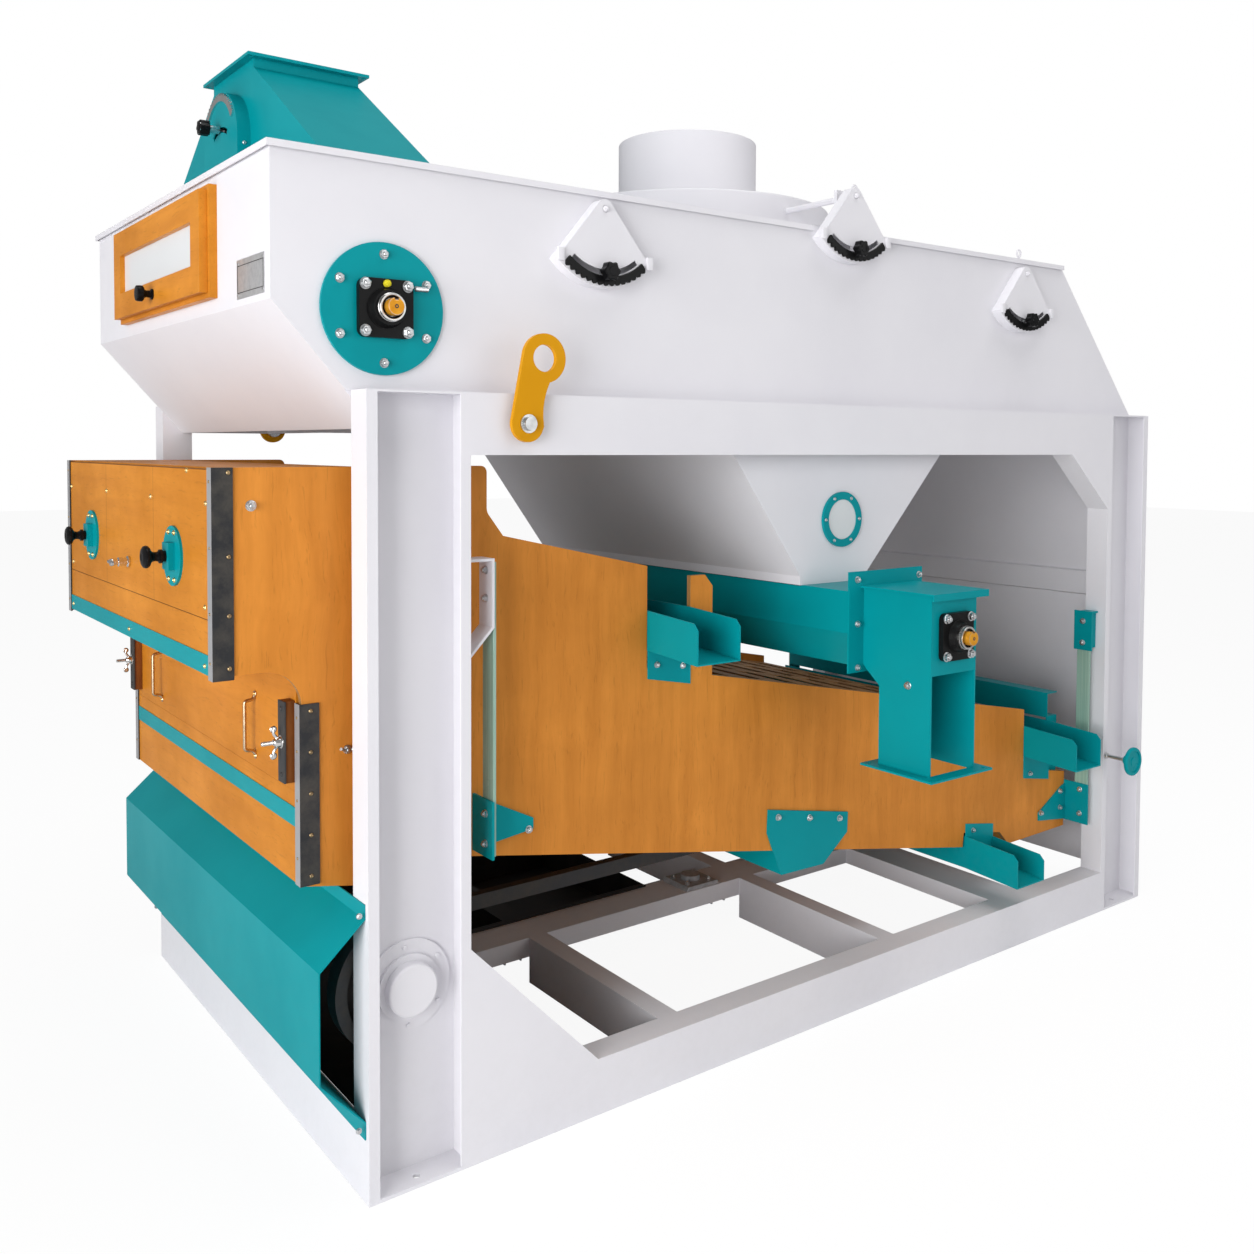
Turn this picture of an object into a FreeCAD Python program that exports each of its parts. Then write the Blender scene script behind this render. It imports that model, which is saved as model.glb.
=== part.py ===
import FreeCAD, Part
import math
import os
from FreeCAD import Vector

os.makedirs("parts", exist_ok=True)

# Grain pre-cleaner, millimetres, +Z up.
# While it is drawn, x runs from the left end of the frame, y from the front face to the back,
# z from the floor. At the end everything moves so that the origin is the middle of the footprint.

# Frame
frame_length = 3100.0
frame_width = 1612.0
frame_height = 1800.0
post_width = 255.0
rear_post_width = 90.0
post_depth = 80.0
post_lip = 26.0
frame_sheet = 5.0
foot_plate = 8.0
anchor_hole_r = 9.0
anchor_inset_x = 130.0
anchor_inset_y = 32.0
beam_height = 143.0
rear_beam_height = 78.0
sill_height = 143.0
corner_gusset_x = 225.0
corner_gusset_z = 195.0
sill_gusset_x = 362.0
sill_gusset_z = 370.0
mid_rail_width = 150.0
mid_rail_height = 60.0
cross_member_width = 65.0
cross_member_stations = (870.0, 1750.0)
wide_member_station = frame_length - 800.0
wide_member_width = 160.0
floor_gap = 1.0
casting_x = 1510.0
casting_length = 150.0
casting_front = 70.0
casting_rear = 62.0
casting_height = 14.0
casting_taper = 10.0
casting_hub_r = 34.0
casting_hub = 16.0
end_sheet = 4.0
end_panel_inset = 18.0
end_panel_folds = (1118.0, 1210.0)
end_panel_fold = 12.0
tray_end = 1430.0
tray_bottom = 20.0
tray_high = 120.0
tray_slope = 500.0
tray_sheet = 4.0
tray_rim = 20.0

# Upper casing
casing_inset = 75.0
casing_sheet = 4.0
casing_top = frame_height + 517.0
casing_overhang = 181.0
casing_end_bottom = casing_top - 331.0
mouth_left = 60.0
mouth_right = 340.0
mouth_bottom = frame_height - 84.0
casing_top_right = frame_length - 459.0
lid_sheet = 3.0
rim_overhang = 10.0
rim_drop = 15.0

# Settling hopper and sight glass
hopper_inset = 105.0
hopper_top_left = 1042.0
hopper_top_right = 2179.0
hopper_bottom_left = 1412.0
hopper_bottom_right = 1700.0
hopper_bottom = frame_height - 501.0
hopper_flange = 22.0
sight_x = 1582.0
sight_z = hopper_bottom + 163.0
sight_outer_r = 83.0
sight_inner_r = 60.0
sight_ring = 8.0
glass_thickness = 5.0

# Air outlet
duct_x = frame_length / 2
duct_r = 235.0
duct_wall = 3.0
duct_shaft_tail = 12.0
throttle_edge_gap = 14.0
duct_bead = 4.0
drum_r = 480.0
drum_top = casing_top + 148.0
duct_top = drum_top + 242.0
duct_shoulder = 1.0
drum_neck_r = 300.0

# Feed inlet
inlet_x = 131.0
inlet_neck_x = 284.0
inlet_neck_y = 318.0
inlet_spread_y = 1274.0
inlet_shoulder = casing_top + 323.0
inlet_top = inlet_shoulder + 31.0
inlet_flange_overhang = 22.0
inlet_flange = 8.0
inlet_hole_r = 6.5
inlet_sheet = 4.0
divider_stem = 33.0
divider_grip = 23.0
divider_collar = 4.0
divider_collar_share = 0.6
quadrant_width = 266.0
quadrant_depth = 35.0
quadrant_pivot = casing_top + 83.0
quadrant_reach = 70.0
quadrant_slot_r = 107.0
quadrant_half_angle = 30.0
divider_height = 150.0

# Shafts and flange bearing units
roll_x = 73.0
roll_z = casing_top - 336.0
roll_r = 92.0
roll_rib = 16.0
rib_sheet = 6.0
rib_root = 4.0
roll_end_gap = 6.0
roll_ribs = 8
drive_end_r = 20.0
drive_stub_r = 19.0
shaft_running = 0.05
bearing_square = 130.0
bearing_plate = 15.0
bearing_hub_r = 39.0
bearing_hub = 20.0
bearing_corner_r = 18.0
bearing_flare = 6.0
bearing_race = 8.0
bearing_groove = 4.0
bearing_bolt_head = 9.0
bearing_bolt_spacing = 102.0
bearing_head_r = 10.0
bearing_disc_r = 147.0
bearing_disc = 8.0
disc_bore_gap = 15.0
shaft_stub = 30.0
key_width = 10.0
key_length = 24.0
key_depth = 5.0

# Air valve sectors
sector_pivots = {"left": (657.0, casing_top - 49.0), "throttle": (duct_x + 11.0, casing_top + 99.0),
                 "right": (casing_top_right - 242.0, casing_top - 53.0)}
sector_r = 195.0
sector_half_angle = 47.0
sector_apex_r = 24.0
sector_depth = 36.0
sector_sheet = 3.0
sector_slot_r = 157.0
sector_slot_width = 14.0
sector_slot_half_angle = 38.0
rack_outer_r = 190.0
rack_inner_r = 172.0
rack_thickness = 8.0
rack_teeth = 17
valve_shaft_r = 9.0
valve_clearance = 0.3
shaft_end_gap = 2.0
valve_shaft_tail = 6.0
flap_end_gap = 4.0
lever_gap = 5.0
lever_sheet = 6.0
lever_width = 18.0
lever_end = 4.0
lever_stem_r = 5.0
knob_stand = 11.0
knob_length = 23.0
pillow_setback = 20.0
pillow_half = 22.0
pillow_sheet = 12.0
pillow_top = 24.0
pillow_bar = 120.0
pillow_bar_height = 10.0
valve_flap_height = 300.0
valve_flap = 4.0
knob_r = 17.0
throttle_rest_tilt = 45.0

# Screw conveyor
screw_x = 1560.0
trough_top = hopper_bottom - 29.0
screw_z = trough_top - 102.0
trough_half = 140.0
trough_fold = trough_top - 117.0
trough_bottom = trough_top - 220.0
trough_bottom_half = 76.0
trough_sheet = 5.0
conveyor_front = -90.0
conveyor_rear = frame_width - hopper_inset - casing_sheet
end_plate = 6.0
end_plate_margin = 15.0
end_plate_top = trough_top + 59.0
end_plate_bottom = trough_top - 227.0
screw_r = 100.0
screw_tube_r = 30.0
screw_pitch = 200.0
screw_flight = 5.0
flight_steps = 30
screw_end_gap = 12.0
spout_half = 95.0
spout_depth = 240.0
spout_lower_depth = 180.0
spout_top = trough_top + 13.0
spout_bottom = spout_top - 490.0
spout_shoulder = spout_top - 220.0
spout_shoulder_low = spout_top - 270.0
spout_flange_overhang = 35.0
spout_hole_r = 5.5
lid_left = 12.0
lid_right = 34.0
lid_front = 16.0
lid_lip = 14.0
spout_front_panel_bottom = spout_top - 213.0

# Window in the left end
window_y = frame_width / 2 + 12.0
window_z = casing_top - 167.0
window_width = 777.0
window_height = 238.0
window_band = 67.0
window_layer = 19.0
window_gap = 0.5
window_stem = 24.0
window_stem_r = 8.0
window_knob_reach = 40.0
pane_lap = 8.0
pane_rebate = 6.0
pane_back = 1.0
surround_margin = 12.0

# Lifting lugs
lug_bolt_x = 392.0
lug_bolt_z = frame_height - 70.0
lug_eye_x = lug_bolt_x + 46.0
lug_eye_z = lug_bolt_z + 154.0
lug_eye_r = 32.0
lug_top_r = 58.0
lug_bottom_r = 43.0
lug_thickness = 12.0
lug_spacer = 14.0
lug_spacer_r = 24.0
lug_washer = 4.0
lug_washer_r = 22.0
lug_head = 10.0
lug_head_r = 16.0
lug_play = 0.3
lug_waist_share = 1.05
lug_waist_depth = 0.62
lug_bolt_r = 12.0

# Sieve boat
boat_inset = 130.0
boat_ply = 15.0
boat_left = -285.0
boat_box_left = -97.0
boat_top = 1630.0
boat_slope = 0.1957
boat_bottom_slope = 0.1877
notch_x = 371.0
notch_top_low = 1458.0
notch_corner_x = 417.0
notch_top_fillet = 16.0
notch_low_fillet = 30.0
notch_rise = 60.0
step_x = 864.0
step_top = 1359.0
deck_edge_at_step = 1084.0
tab_left = 1015.0
tab_right = 1095.0
tab_top = 1323.0
tail_x = frame_length - 545.0
tail_edge = 537.0
boat_right = tail_x + 251.0
tail_drop = 0.175
boat_right_bottom = 292.0
lower_notch_left = boat_right - 585.0
lower_notch_right = boat_right - 380.0
lower_notch_depth = 48.0
notch_fall = 36.0
door_proud = 3.0
bottom_at_opening = 681.0
bottom_reference_x = 328.0
hidden_step_x = 200.0
box_bottom_left = 699.0
box_shelf = 1186.0
box_fillet = 85.0
upper_deck_at_step = 1262.0
lower_deck_at_tail = 690.0
upper_deck_left = 60.0
sieve_frame_height = 34.0
sieve_frame_band = 40.0
sieve_plate = 3.0
slot_share_x = 0.4
slot_share_y = 0.84
runner_height = 24.0
runner_width = 30.0
strip_thickness = 2.0
strip_height = 43.0
lower_strip_bottom = 826.0

# Chutes
chute_plate_drop = 4.0
lower_chute_drop = 40.0
tail_rail_width = 60.0
tail_bracket_drop = 90.0
tail_rail_gap = 10.0
chute_width = 148.0
chute_height = 108.0
chute_sheet = 4.0
chute_reach = 208.0
chute_fall = 0.06
chute_corner = 18.0
chute_plate = 30.0
tail_rail_bottom = 700.0
tail_rail_height = 90.0
upper_chute_x = 866.0
upper_chute_z = 1130.0
right_chute_x = tail_x + 1.0
right_chute_z = 586.0
lower_chute_x = lower_notch_left + 13.0
lower_chute_z = 252.0

# Leaf spring suspension
leaf_thickness = 8.0
leaf_width = 50.0
leaf_front = 40.0
left_leaf_x = 337.0
right_leaf_x = frame_length - post_width - 33.0
left_leaf_top = 1405.0
left_leaf_bottom = 702.0
right_leaf_top = 1086.0
right_leaf_bottom = 322.0
hanger_sheet = 6.0
left_hanger_top = 1414.0
left_hanger_fold = 1250.0
left_hanger_foot = 1165.0
right_hanger_bottom = 950.0
left_foot_top = 835.0
leaf_margin = 6.0
clamp_margin = 10.0
clamp_setback = 8.0
hanger_brace_drop = 85.0
hanger_cap_tail = 20.0
foot_tip_share = 0.18
foot_edge = 4.0
foot_top_edge = 12.0
foot_crown = 30.0
foot_crown_drop = 22.0
foot_tip_rise = 24.0
foot_toe = 20.0
right_foot_top = 462.0
foot_gusset = 165.0

# Drive
drive_x = 127.5
drive_z = 437.0
drive_shaft_r = 25.0
cover_r = 108.0
cover_plate = 6.0
cover_ring_r = 76.0
cover_ring = 8.0
cover_cap_r = 61.0
cover_cap = 34.0
cover_gap = 2.0
flywheel_r = 165.0
flywheel_rim = 28.0
flywheel_width = 48.0
flywheel_gap = 14.0
eccentricity = 8.0
collar_r = 50.0
rod_spread = 376.0
rod_width = 46.0
rod_height = 40.0
cover_fillet = 6.0
cover_hub_reach = 4.0
cover_wall = 6.0
shaft_end_depth = 8.0
wheel_web_inset = 16.0
wheel_hub_r = 48.0
wheel_holes = 5
wheel_hole_ring = 92.0
wheel_hole_r = 26.0
collar_reach = 4.0
beam_sheet = 6.0
rod_yoke = 18.0
rod_shoulder = 8.0
rod_clearance = 9.0
beam_x = 1367.0
beam_depth = 60.0
bracket_points = ((1313.0, 618.0), (1649.0, 552.0), (1646.0, 490.0),
                  (1542.0, 411.0), (1367.0, 414.0), (1310.0, 548.0))
bracket_plate = 6.0
hood_face = -105.0
hood_sheet = 3.0
hood_inset = 15.0
hood_levels = (672.0, 639.0, 545.0, 298.0, 185.0, 145.0)

# Doors of the boat
door_side_gap = 26.0
upper_door_bottom = 1304.0
upper_door_top = 1626.0
lower_door_bottom = 905.0
lower_door_top = 1166.0
door_gap = 0.5
disc_front_offset = 398.0
disc_rear_offset = 380.0
disc_z = 1424.0
disc_r = 69.0
disc_plate = 6.0
disc_boss = 62.0
disc_boss_depth = 14.0
disc_boss_share = 0.8
spindle_r = 8.0
spindle_reach = 60.0
thumb_proud = 4.0
thumb_depth = 12.0
thumb_half = 24.0
thumb_sheet = 8.0
clamp_knob_r = 26.0
clamp_stem_r = 15.0
clamp_stem = 34.0
clamp_head = 18.0
latch_offset = 9.0
latch_z = 1380.0
latch_r = 12.0
latch_length = 48.0
handle_spread = 392.0
handle_z = 1008.0
handle_height = 150.0
handle_reach = 26.0
handle_wire_r = 4.5
bar_inset = 48.0
bar_z = 1018.0
bar_height = 185.0
bar_width = 40.0
bar_wood = 34.0
bar_steel = 4.0
wing_stud_r = 5.0
wing_stud = 44.0
wing_hub = 16.0
wing_hub_r = 11.0
wing_low = 6.0
wing_high = 22.0
wing_half = 34.0
wing_sheet = 6.0
upper_angle_drop = 8.0
lower_angle_drop = 60.0
angle_leg = 42.0
angle_front_leg = 25.0
angle_sheet = 4.0

# Handwheel
wheel_x = frame_length - 238.0
wheel_z = 570.0
wheel_r = 50.0
wheel_rod_r = 7.0
wheel_rod_length = 112.0
wheel_collar_r = 11.0
wheel_play = 0.3
wheel_rim_depth = 14.0
wheel_rim_fillet = 5.0
wheel_dish = 4.0
wheel_rim_band = 12.0
wheel_boss_r = 16.0
wheel_boss = 36.0
wheel_back = 2.0
wheel_rod_tail = 20.0
wheel_collar = 8.0

middle_y = frame_width / 2
casing_front = casing_inset
casing_rear = frame_width - casing_inset
boat_front = boat_inset
boat_rear = frame_width - boat_inset
inner_front = boat_front + boat_ply
inner_rear = boat_rear - boat_ply
rod_stations = (middle_y - rod_spread, middle_y + rod_spread)
disc_stations = (middle_y - disc_front_offset, middle_y + disc_rear_offset)
latch_y = middle_y - latch_offset
handle_stations = (middle_y - handle_spread, middle_y + handle_spread)
bar_stations = (boat_front + bar_inset, boat_rear - bar_inset)


# Helpers

def box(x0, x1, y0, y1, z0, z1):
    return Part.makeBox(x1 - x0, y1 - y0, z1 - z0, Vector(x0, y0, z0))


def face_from(points):
    wire = Part.makePolygon([Vector(p) for p in points] + [Vector(points[0])])
    return Part.Face(wire)


def prism_xz(points, y0, y1):
    face = face_from([(x, y0, z) for x, z in points])
    return face.extrude(Vector(0, y1 - y0, 0))


def prism_yz(points, x0, x1):
    face = face_from([(x0, y, z) for y, z in points])
    return face.extrude(Vector(x1 - x0, 0, 0))


def cyl_x(x0, x1, y, z, r):
    return Part.makeCylinder(r, x1 - x0, Vector(x0, y, z), Vector(1, 0, 0))


def cyl_y(y0, y1, x, z, r):
    return Part.makeCylinder(r, y1 - y0, Vector(x, y0, z), Vector(0, 1, 0))


def cyl_z(z0, z1, x, y, r):
    return Part.makeCylinder(r, z1 - z0, Vector(x, y, z0), Vector(0, 0, 1))


def mirrored(shape):
    """The same piece on the rear side of the machine."""
    copy = shape.copy()
    return copy.mirror(Vector(0, middle_y, 0), Vector(0, 1, 0))


def left_normals(points):
    normals = []
    for (a0, b0), (a1, b1) in zip(points, points[1:]):
        length = math.hypot(a1 - a0, b1 - b0)
        normals.append((-(b1 - b0) / length, (a1 - a0) / length))
    return normals


def folded(points, sheet):
    """Closed outline of a sheet folded along the given line, thickened to its left."""
    normals = left_normals(points)
    offset = []
    for i, (a, b) in enumerate(points):
        before = normals[max(i - 1, 0)]
        after = normals[min(i, len(normals) - 1)]
        mid = (before[0] + after[0], before[1] + after[1])
        scale = 2 * sheet / (mid[0] ** 2 + mid[1] ** 2)
        offset.append((a + mid[0] * scale, b + mid[1] * scale))
    return list(points) + offset[::-1]


def turned(shape, x, z, degrees):
    """Turn about an axis along y through (x, z)."""
    copy = shape.copy()
    copy.rotate(Vector(x, 0, z), Vector(0, 1, 0), degrees)
    return copy


def joined(first, *others):
    result = first
    for other in others:
        result = result.fuse(other)
    return result.removeSplitter()


nodes = {}


def node(name, *shapes):
    solids = []
    for shape in shapes:
        solids.extend(shape.Solids)
    nodes[name] = Part.makeCompound(solids)


# Frame

def lipped_post(x0, width):
    """Folded channel, open to the front, with return lips."""
    x1 = x0 + width
    outer = box(x0, x1, 0, post_depth, foot_plate, frame_height - frame_sheet)
    hollow = box(x0 + frame_sheet, x1 - frame_sheet, frame_sheet, post_depth - frame_sheet,
                 0, frame_height)
    mouth = box(x0 + post_lip, x1 - post_lip, -1, post_depth / 2, 0, frame_height)
    post = outer.cut(hollow).cut(mouth)
    cap = box(x0, x1, 0, post_depth, frame_height - frame_sheet, frame_height)
    return joined(post, cap)


def foot(anchor_x, x0):
    plate = box(x0, x0 + post_width, 0, post_depth, 0, foot_plate)
    return plate.cut(cyl_z(-1, foot_plate + 1, anchor_x, anchor_inset_y, anchor_hole_r))


def front_posts():
    right_x = frame_length - post_width
    left = joined(lipped_post(0, post_width), foot(anchor_inset_x, 0))
    left = left.cut(cyl_y(post_depth / 2, post_depth + 1, drive_x, drive_z, cover_cap_r + cover_gap))
    right = joined(lipped_post(right_x, post_width), foot(frame_length - anchor_inset_x, right_x))
    right = right.cut(cyl_y(-1, frame_sheet + 1, wheel_x, wheel_z, wheel_rod_r + shaft_running))
    node("front_posts", left, right)


def rear_posts():
    """Narrower channels on the same foot plates, open to the rear."""
    right_x = frame_length - post_width
    left = joined(lipped_post(0, rear_post_width), foot(anchor_inset_x, 0))
    bearing_arm = box(rear_post_width, drive_x + cover_r, post_depth - frame_sheet, post_depth,
                      drive_z - cover_r, drive_z + cover_r)
    left = joined(left, bearing_arm)
    left = left.cut(cyl_y(post_depth / 2, post_depth + 1, drive_x, drive_z, cover_cap_r + cover_gap))
    room = cover_r + cover_gap
    left = left.cut(box(rear_post_width - frame_sheet - 1, rear_post_width + 1, frame_sheet,
                        post_depth - frame_sheet, drive_z - room, drive_z + room))
    right = joined(lipped_post(frame_length - rear_post_width, rear_post_width),
                   foot(frame_length - anchor_inset_x, right_x))
    node("rear_posts", mirrored(left), mirrored(right))


def top_beams():
    """Front beam with a gusset in its right corner, and the lower rear beam."""
    x0 = post_width
    x1 = frame_length - post_width
    z0 = frame_height - beam_height
    corner = [(x1, z0), (x1 - corner_gusset_x, z0), (x1, z0 - corner_gusset_z)]
    front_outline = [(x0, frame_height), (x1, frame_height)] + [corner[2], corner[1]] + [(x0, z0)]
    front = prism_xz(front_outline, 0, post_depth)
    inset = [(x0 - 1, frame_height - frame_sheet), (x1 - frame_sheet, frame_height - frame_sheet),
             (x1 - frame_sheet, z0 - corner_gusset_z + 3 * frame_sheet),
             (x1 - corner_gusset_x - frame_sheet, z0 + frame_sheet), (x0 - 1, z0 + frame_sheet)]
    front = front.cut(prism_xz(inset, frame_sheet, post_depth + 1))
    rear_x0 = rear_post_width
    rear_x1 = frame_length - rear_post_width
    rear_outer = box(rear_x0, rear_x1, 0, post_depth, frame_height - rear_beam_height, frame_height)
    rear_hollow = box(rear_x0 - 1, rear_x1 + 1, frame_sheet, post_depth + 1,
                      frame_height - rear_beam_height + frame_sheet, frame_height - frame_sheet)
    return front, mirrored(rear_outer.cut(rear_hollow))


def sill(x0, x1, gusset):
    outline = [(x0, 0), (x1, 0), (x1, sill_height)]
    if gusset:
        outline += [(x0 + sill_gusset_x, sill_height), (x0, sill_height + sill_gusset_z)]
    else:
        outline += [(x0, sill_height)]
    body = prism_xz(outline, 0, post_depth)
    inset = [(x0 - 1, -1), (x1 + 1, -1), (x1 + 1, sill_height - frame_sheet)]
    if gusset:
        inset += [(x0 + sill_gusset_x - frame_sheet / 2, sill_height - frame_sheet),
                  (x0 - 1, sill_height + sill_gusset_z - frame_sheet)]
    else:
        inset += [(x0 - 1, sill_height - frame_sheet)]
    return body.cut(prism_xz(inset, frame_sheet, post_depth + 1))


def frame_beams():
    front = sill(post_width, frame_length - post_width, True)
    rear = sill(post_width, frame_length - post_width, False)
    node("frame_beams", front, mirrored(rear), *top_beams())


def channel_down(x0, x1, y0, y1, z0, z1):
    """Inverted channel between two beams, its webs standing on the floor side."""
    outer = box(x0, x1, y0, y1, z0, z1)
    if x1 - x0 < y1 - y0:
        hollow = box(x0 + frame_sheet, x1 - frame_sheet, y0 - 1, y1 + 1, z0 - 1, z1 - frame_sheet)
    else:
        hollow = box(x0 - 1, x1 + 1, y0 + frame_sheet, y1 - frame_sheet, z0 - 1, z1 - frame_sheet)
    return outer.cut(hollow)


def floor_rails():
    rail_y0 = middle_y - mid_rail_width / 2
    rail_y1 = middle_y + mid_rail_width / 2
    rail = channel_down(end_sheet, frame_length - end_panel_inset - end_sheet, rail_y0, rail_y1,
                        sill_height - mid_rail_height, sill_height)
    members = []
    for station in cross_member_stations:
        for y0, y1 in ((post_depth, rail_y0), (rail_y1, frame_width - post_depth)):
            members.append(channel_down(station, station + cross_member_width, y0, y1,
                                        floor_gap, sill_height))
    for y0, y1 in ((post_depth, rail_y0), (rail_y1, frame_width - post_depth)):
        members.append(channel_down(wide_member_station, wide_member_station + wide_member_width,
                                    y0, y1, sill_height - mid_rail_height, sill_height))
    node("floor_rails", rail, *members)


def rail_casting():
    """Cast steady bracket bolted on the middle rail."""
    x0 = casting_x
    x1 = casting_x + casting_length
    top = sill_height + casting_height
    base = prism_xz([(x0, sill_height), (x1, sill_height), (x1 - casting_taper, top), (x0 + casting_taper, top)],
                    middle_y - casting_front, middle_y + casting_rear)
    hub = cyl_z(top, top + casting_hub, (x0 + x1) / 2, middle_y, casting_hub_r)
    node("rail_casting", joined(base, hub))


def end_panels():
    """Low panel at the left end and the tall folded sheet at the right end."""
    y0 = post_depth
    y1 = frame_width - post_depth
    left = box(0, end_sheet, y0, y1, 0, hood_levels[4])
    x = frame_length - end_panel_inset
    fold_low, fold_high = end_panel_folds
    line = [(x, sill_height - mid_rail_height), (x, fold_low), (x - end_panel_fold, fold_low + end_panel_fold / 2),
            (x - end_panel_fold, fold_high - end_panel_fold / 2), (x, fold_high), (x, frame_height)]
    node("end_panels", left, prism_xz(folded(line, end_sheet), y0, y1))


def fines_tray():
    """Open tray behind the middle rail; its rims rest on the rail, the sill and a cross member."""
    y0 = middle_y + mid_rail_width / 2 + floor_gap
    y1 = frame_width - post_depth - floor_gap
    x0 = 2 * frame_sheet
    x1 = tray_end
    t = tray_sheet
    rim = sill_height + t
    tray = box(x0, x1, y0, y1, tray_bottom, rim)
    slope = prism_xz([(x0 + t, rim + 1), (x0 + t, tray_high), (x0 + tray_slope, tray_bottom + t),
                      (x1 - t, tray_bottom + t), (x1 - t, rim + 1)], y0 + t, y1 - t)
    rims = box(x0, x1, y0 - tray_rim, y1 + tray_rim, sill_height, rim)
    rims = rims.cut(box(x0 + t, x1 - t, y0 + t, y1 - t, 0, rim + 1))
    member_x0 = cross_member_stations[0]
    member_x1 = member_x0 + cross_member_width
    room = box(member_x0 - floor_gap, member_x1 + floor_gap, y0 - 1, y1 + 1, 0, sill_height)
    liner = box(member_x0 - floor_gap - t, member_x1 + floor_gap + t, y0, y1, tray_bottom, rim)
    post = box(0, rear_post_width + floor_gap, frame_width - post_depth, frame_width, 0, frame_height)
    node("fines_tray", joined(tray.cut(slope), rims, liner).cut(room).cut(post))


# Upper casing

def casing_outline(grow):
    """Outline of the casing seen from the front; grow is measured inward."""
    g = grow
    chamfer = math.hypot(frame_length - casing_top_right, casing_top - frame_height)
    slope_x = (casing_top - frame_height) / chamfer
    slope_z = (frame_length - casing_top_right) / chamfer
    top = casing_top - lid_sheet
    run = (casing_end_bottom - mouth_bottom) / (casing_overhang + mouth_left)
    dz = g * math.hypot(1, run)
    right_at_top = casing_top_right + (casing_top - top) * slope_z / slope_x
    return [(-casing_overhang + g, casing_end_bottom + dz - g * run), (-casing_overhang + g, top + (1 if g else 0)),
            (right_at_top - g / slope_x - (slope_z / slope_x if g else 0), top + (1 if g else 0)),
            (frame_length - g / slope_x - g * slope_z / slope_x, frame_height + g)], dz, run


def upper_casing():
    outer_line = casing_outline(0)[0]
    inner_line, dz, run = casing_outline(casing_sheet)
    top_x = -casing_overhang + (casing_end_bottom - frame_height) / run
    outer = prism_xz(outer_line + [(mouth_right, frame_height), (top_x, frame_height)],
                     casing_front, casing_rear)
    inner_x = top_x + (dz - casing_sheet) / run
    inner = prism_xz(inner_line + [(mouth_right, frame_height + casing_sheet),
                                   (inner_x, frame_height + casing_sheet)],
                     casing_front + casing_sheet, casing_rear - casing_sheet)
    mouth_y0 = post_depth + floor_gap
    mouth_y1 = frame_width - mouth_y0
    mouth_outer = prism_xz([(top_x, frame_height), (mouth_left, mouth_bottom),
                            (mouth_right, mouth_bottom), (mouth_right, frame_height)],
                           mouth_y0, mouth_y1)
    inset = casing_sheet
    mouth_inner = prism_xz([(top_x + inset * 1.5, frame_height + inset + 1),
                            (mouth_left + inset * 1.5, mouth_bottom - 1),
                            (mouth_right - inset, mouth_bottom - 1),
                            (mouth_right - inset, frame_height + inset + 1)],
                           mouth_y0 + inset, mouth_y1 - inset)
    casing = joined(outer, mouth_outer).cut(inner).cut(mouth_inner)
    hopper_hole = box(hopper_top_left, hopper_top_right, hopper_inset, frame_width - hopper_inset,
                      frame_height - 1, frame_height + 2 * casing_sheet)
    window_hole = box(-casing_overhang - 1, -casing_overhang + 2 * casing_sheet,
                      window_y - window_width / 2 + window_band, window_y + window_width / 2 - window_band,
                      window_z - window_height / 2 + window_band, window_z + window_height / 2 - window_band)
    casing = casing.cut(hopper_hole).cut(window_hole)
    for x, z, r in ((roll_x, roll_z, drive_end_r + 15),
                    (*sector_pivots["left"], valve_shaft_r + valve_clearance),
                    (*sector_pivots["right"], valve_shaft_r + valve_clearance)):
        casing = casing.cut(cyl_y(0, frame_width, x, z, r))
    node("upper_casing", casing)


def casing_lid():
    x0 = -casing_overhang - rim_overhang
    x1 = casing_top_right + rim_overhang
    y0 = casing_front - rim_overhang
    y1 = casing_rear + rim_overhang
    lid = box(x0, x1, y0, y1, casing_top - rim_drop, casing_top)
    under = box(x0 + lid_sheet, x1 + 1, y0 + lid_sheet, y1 - lid_sheet,
                casing_top - rim_drop - 1, casing_top - lid_sheet)
    lid = lid.cut(under)
    half = inlet_spread_y / 2 - inlet_sheet
    inlet_hole = box(inlet_x - inlet_neck_x / 2 + inlet_sheet, inlet_x + inlet_neck_x / 2 - inlet_sheet,
                     middle_y - half, middle_y + half, casing_top - 2 * lid_sheet, casing_top + 1)
    drum_hole = cyl_z(casing_top - 2 * lid_sheet, casing_top + 1, duct_x, middle_y, drum_neck_r)
    pivot_x = sector_pivots["throttle"][0]
    half_sector = sector_r * math.sin(math.radians(sector_half_angle)) + 2
    rim_gap = box(pivot_x - half_sector, pivot_x + half_sector, y0 - 1, casing_front - 0.5,
                  casing_top - rim_drop - 1, casing_top + 1)
    node("casing_lid", lid.cut(inlet_hole).cut(drum_hole).cut(rim_gap))


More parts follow.
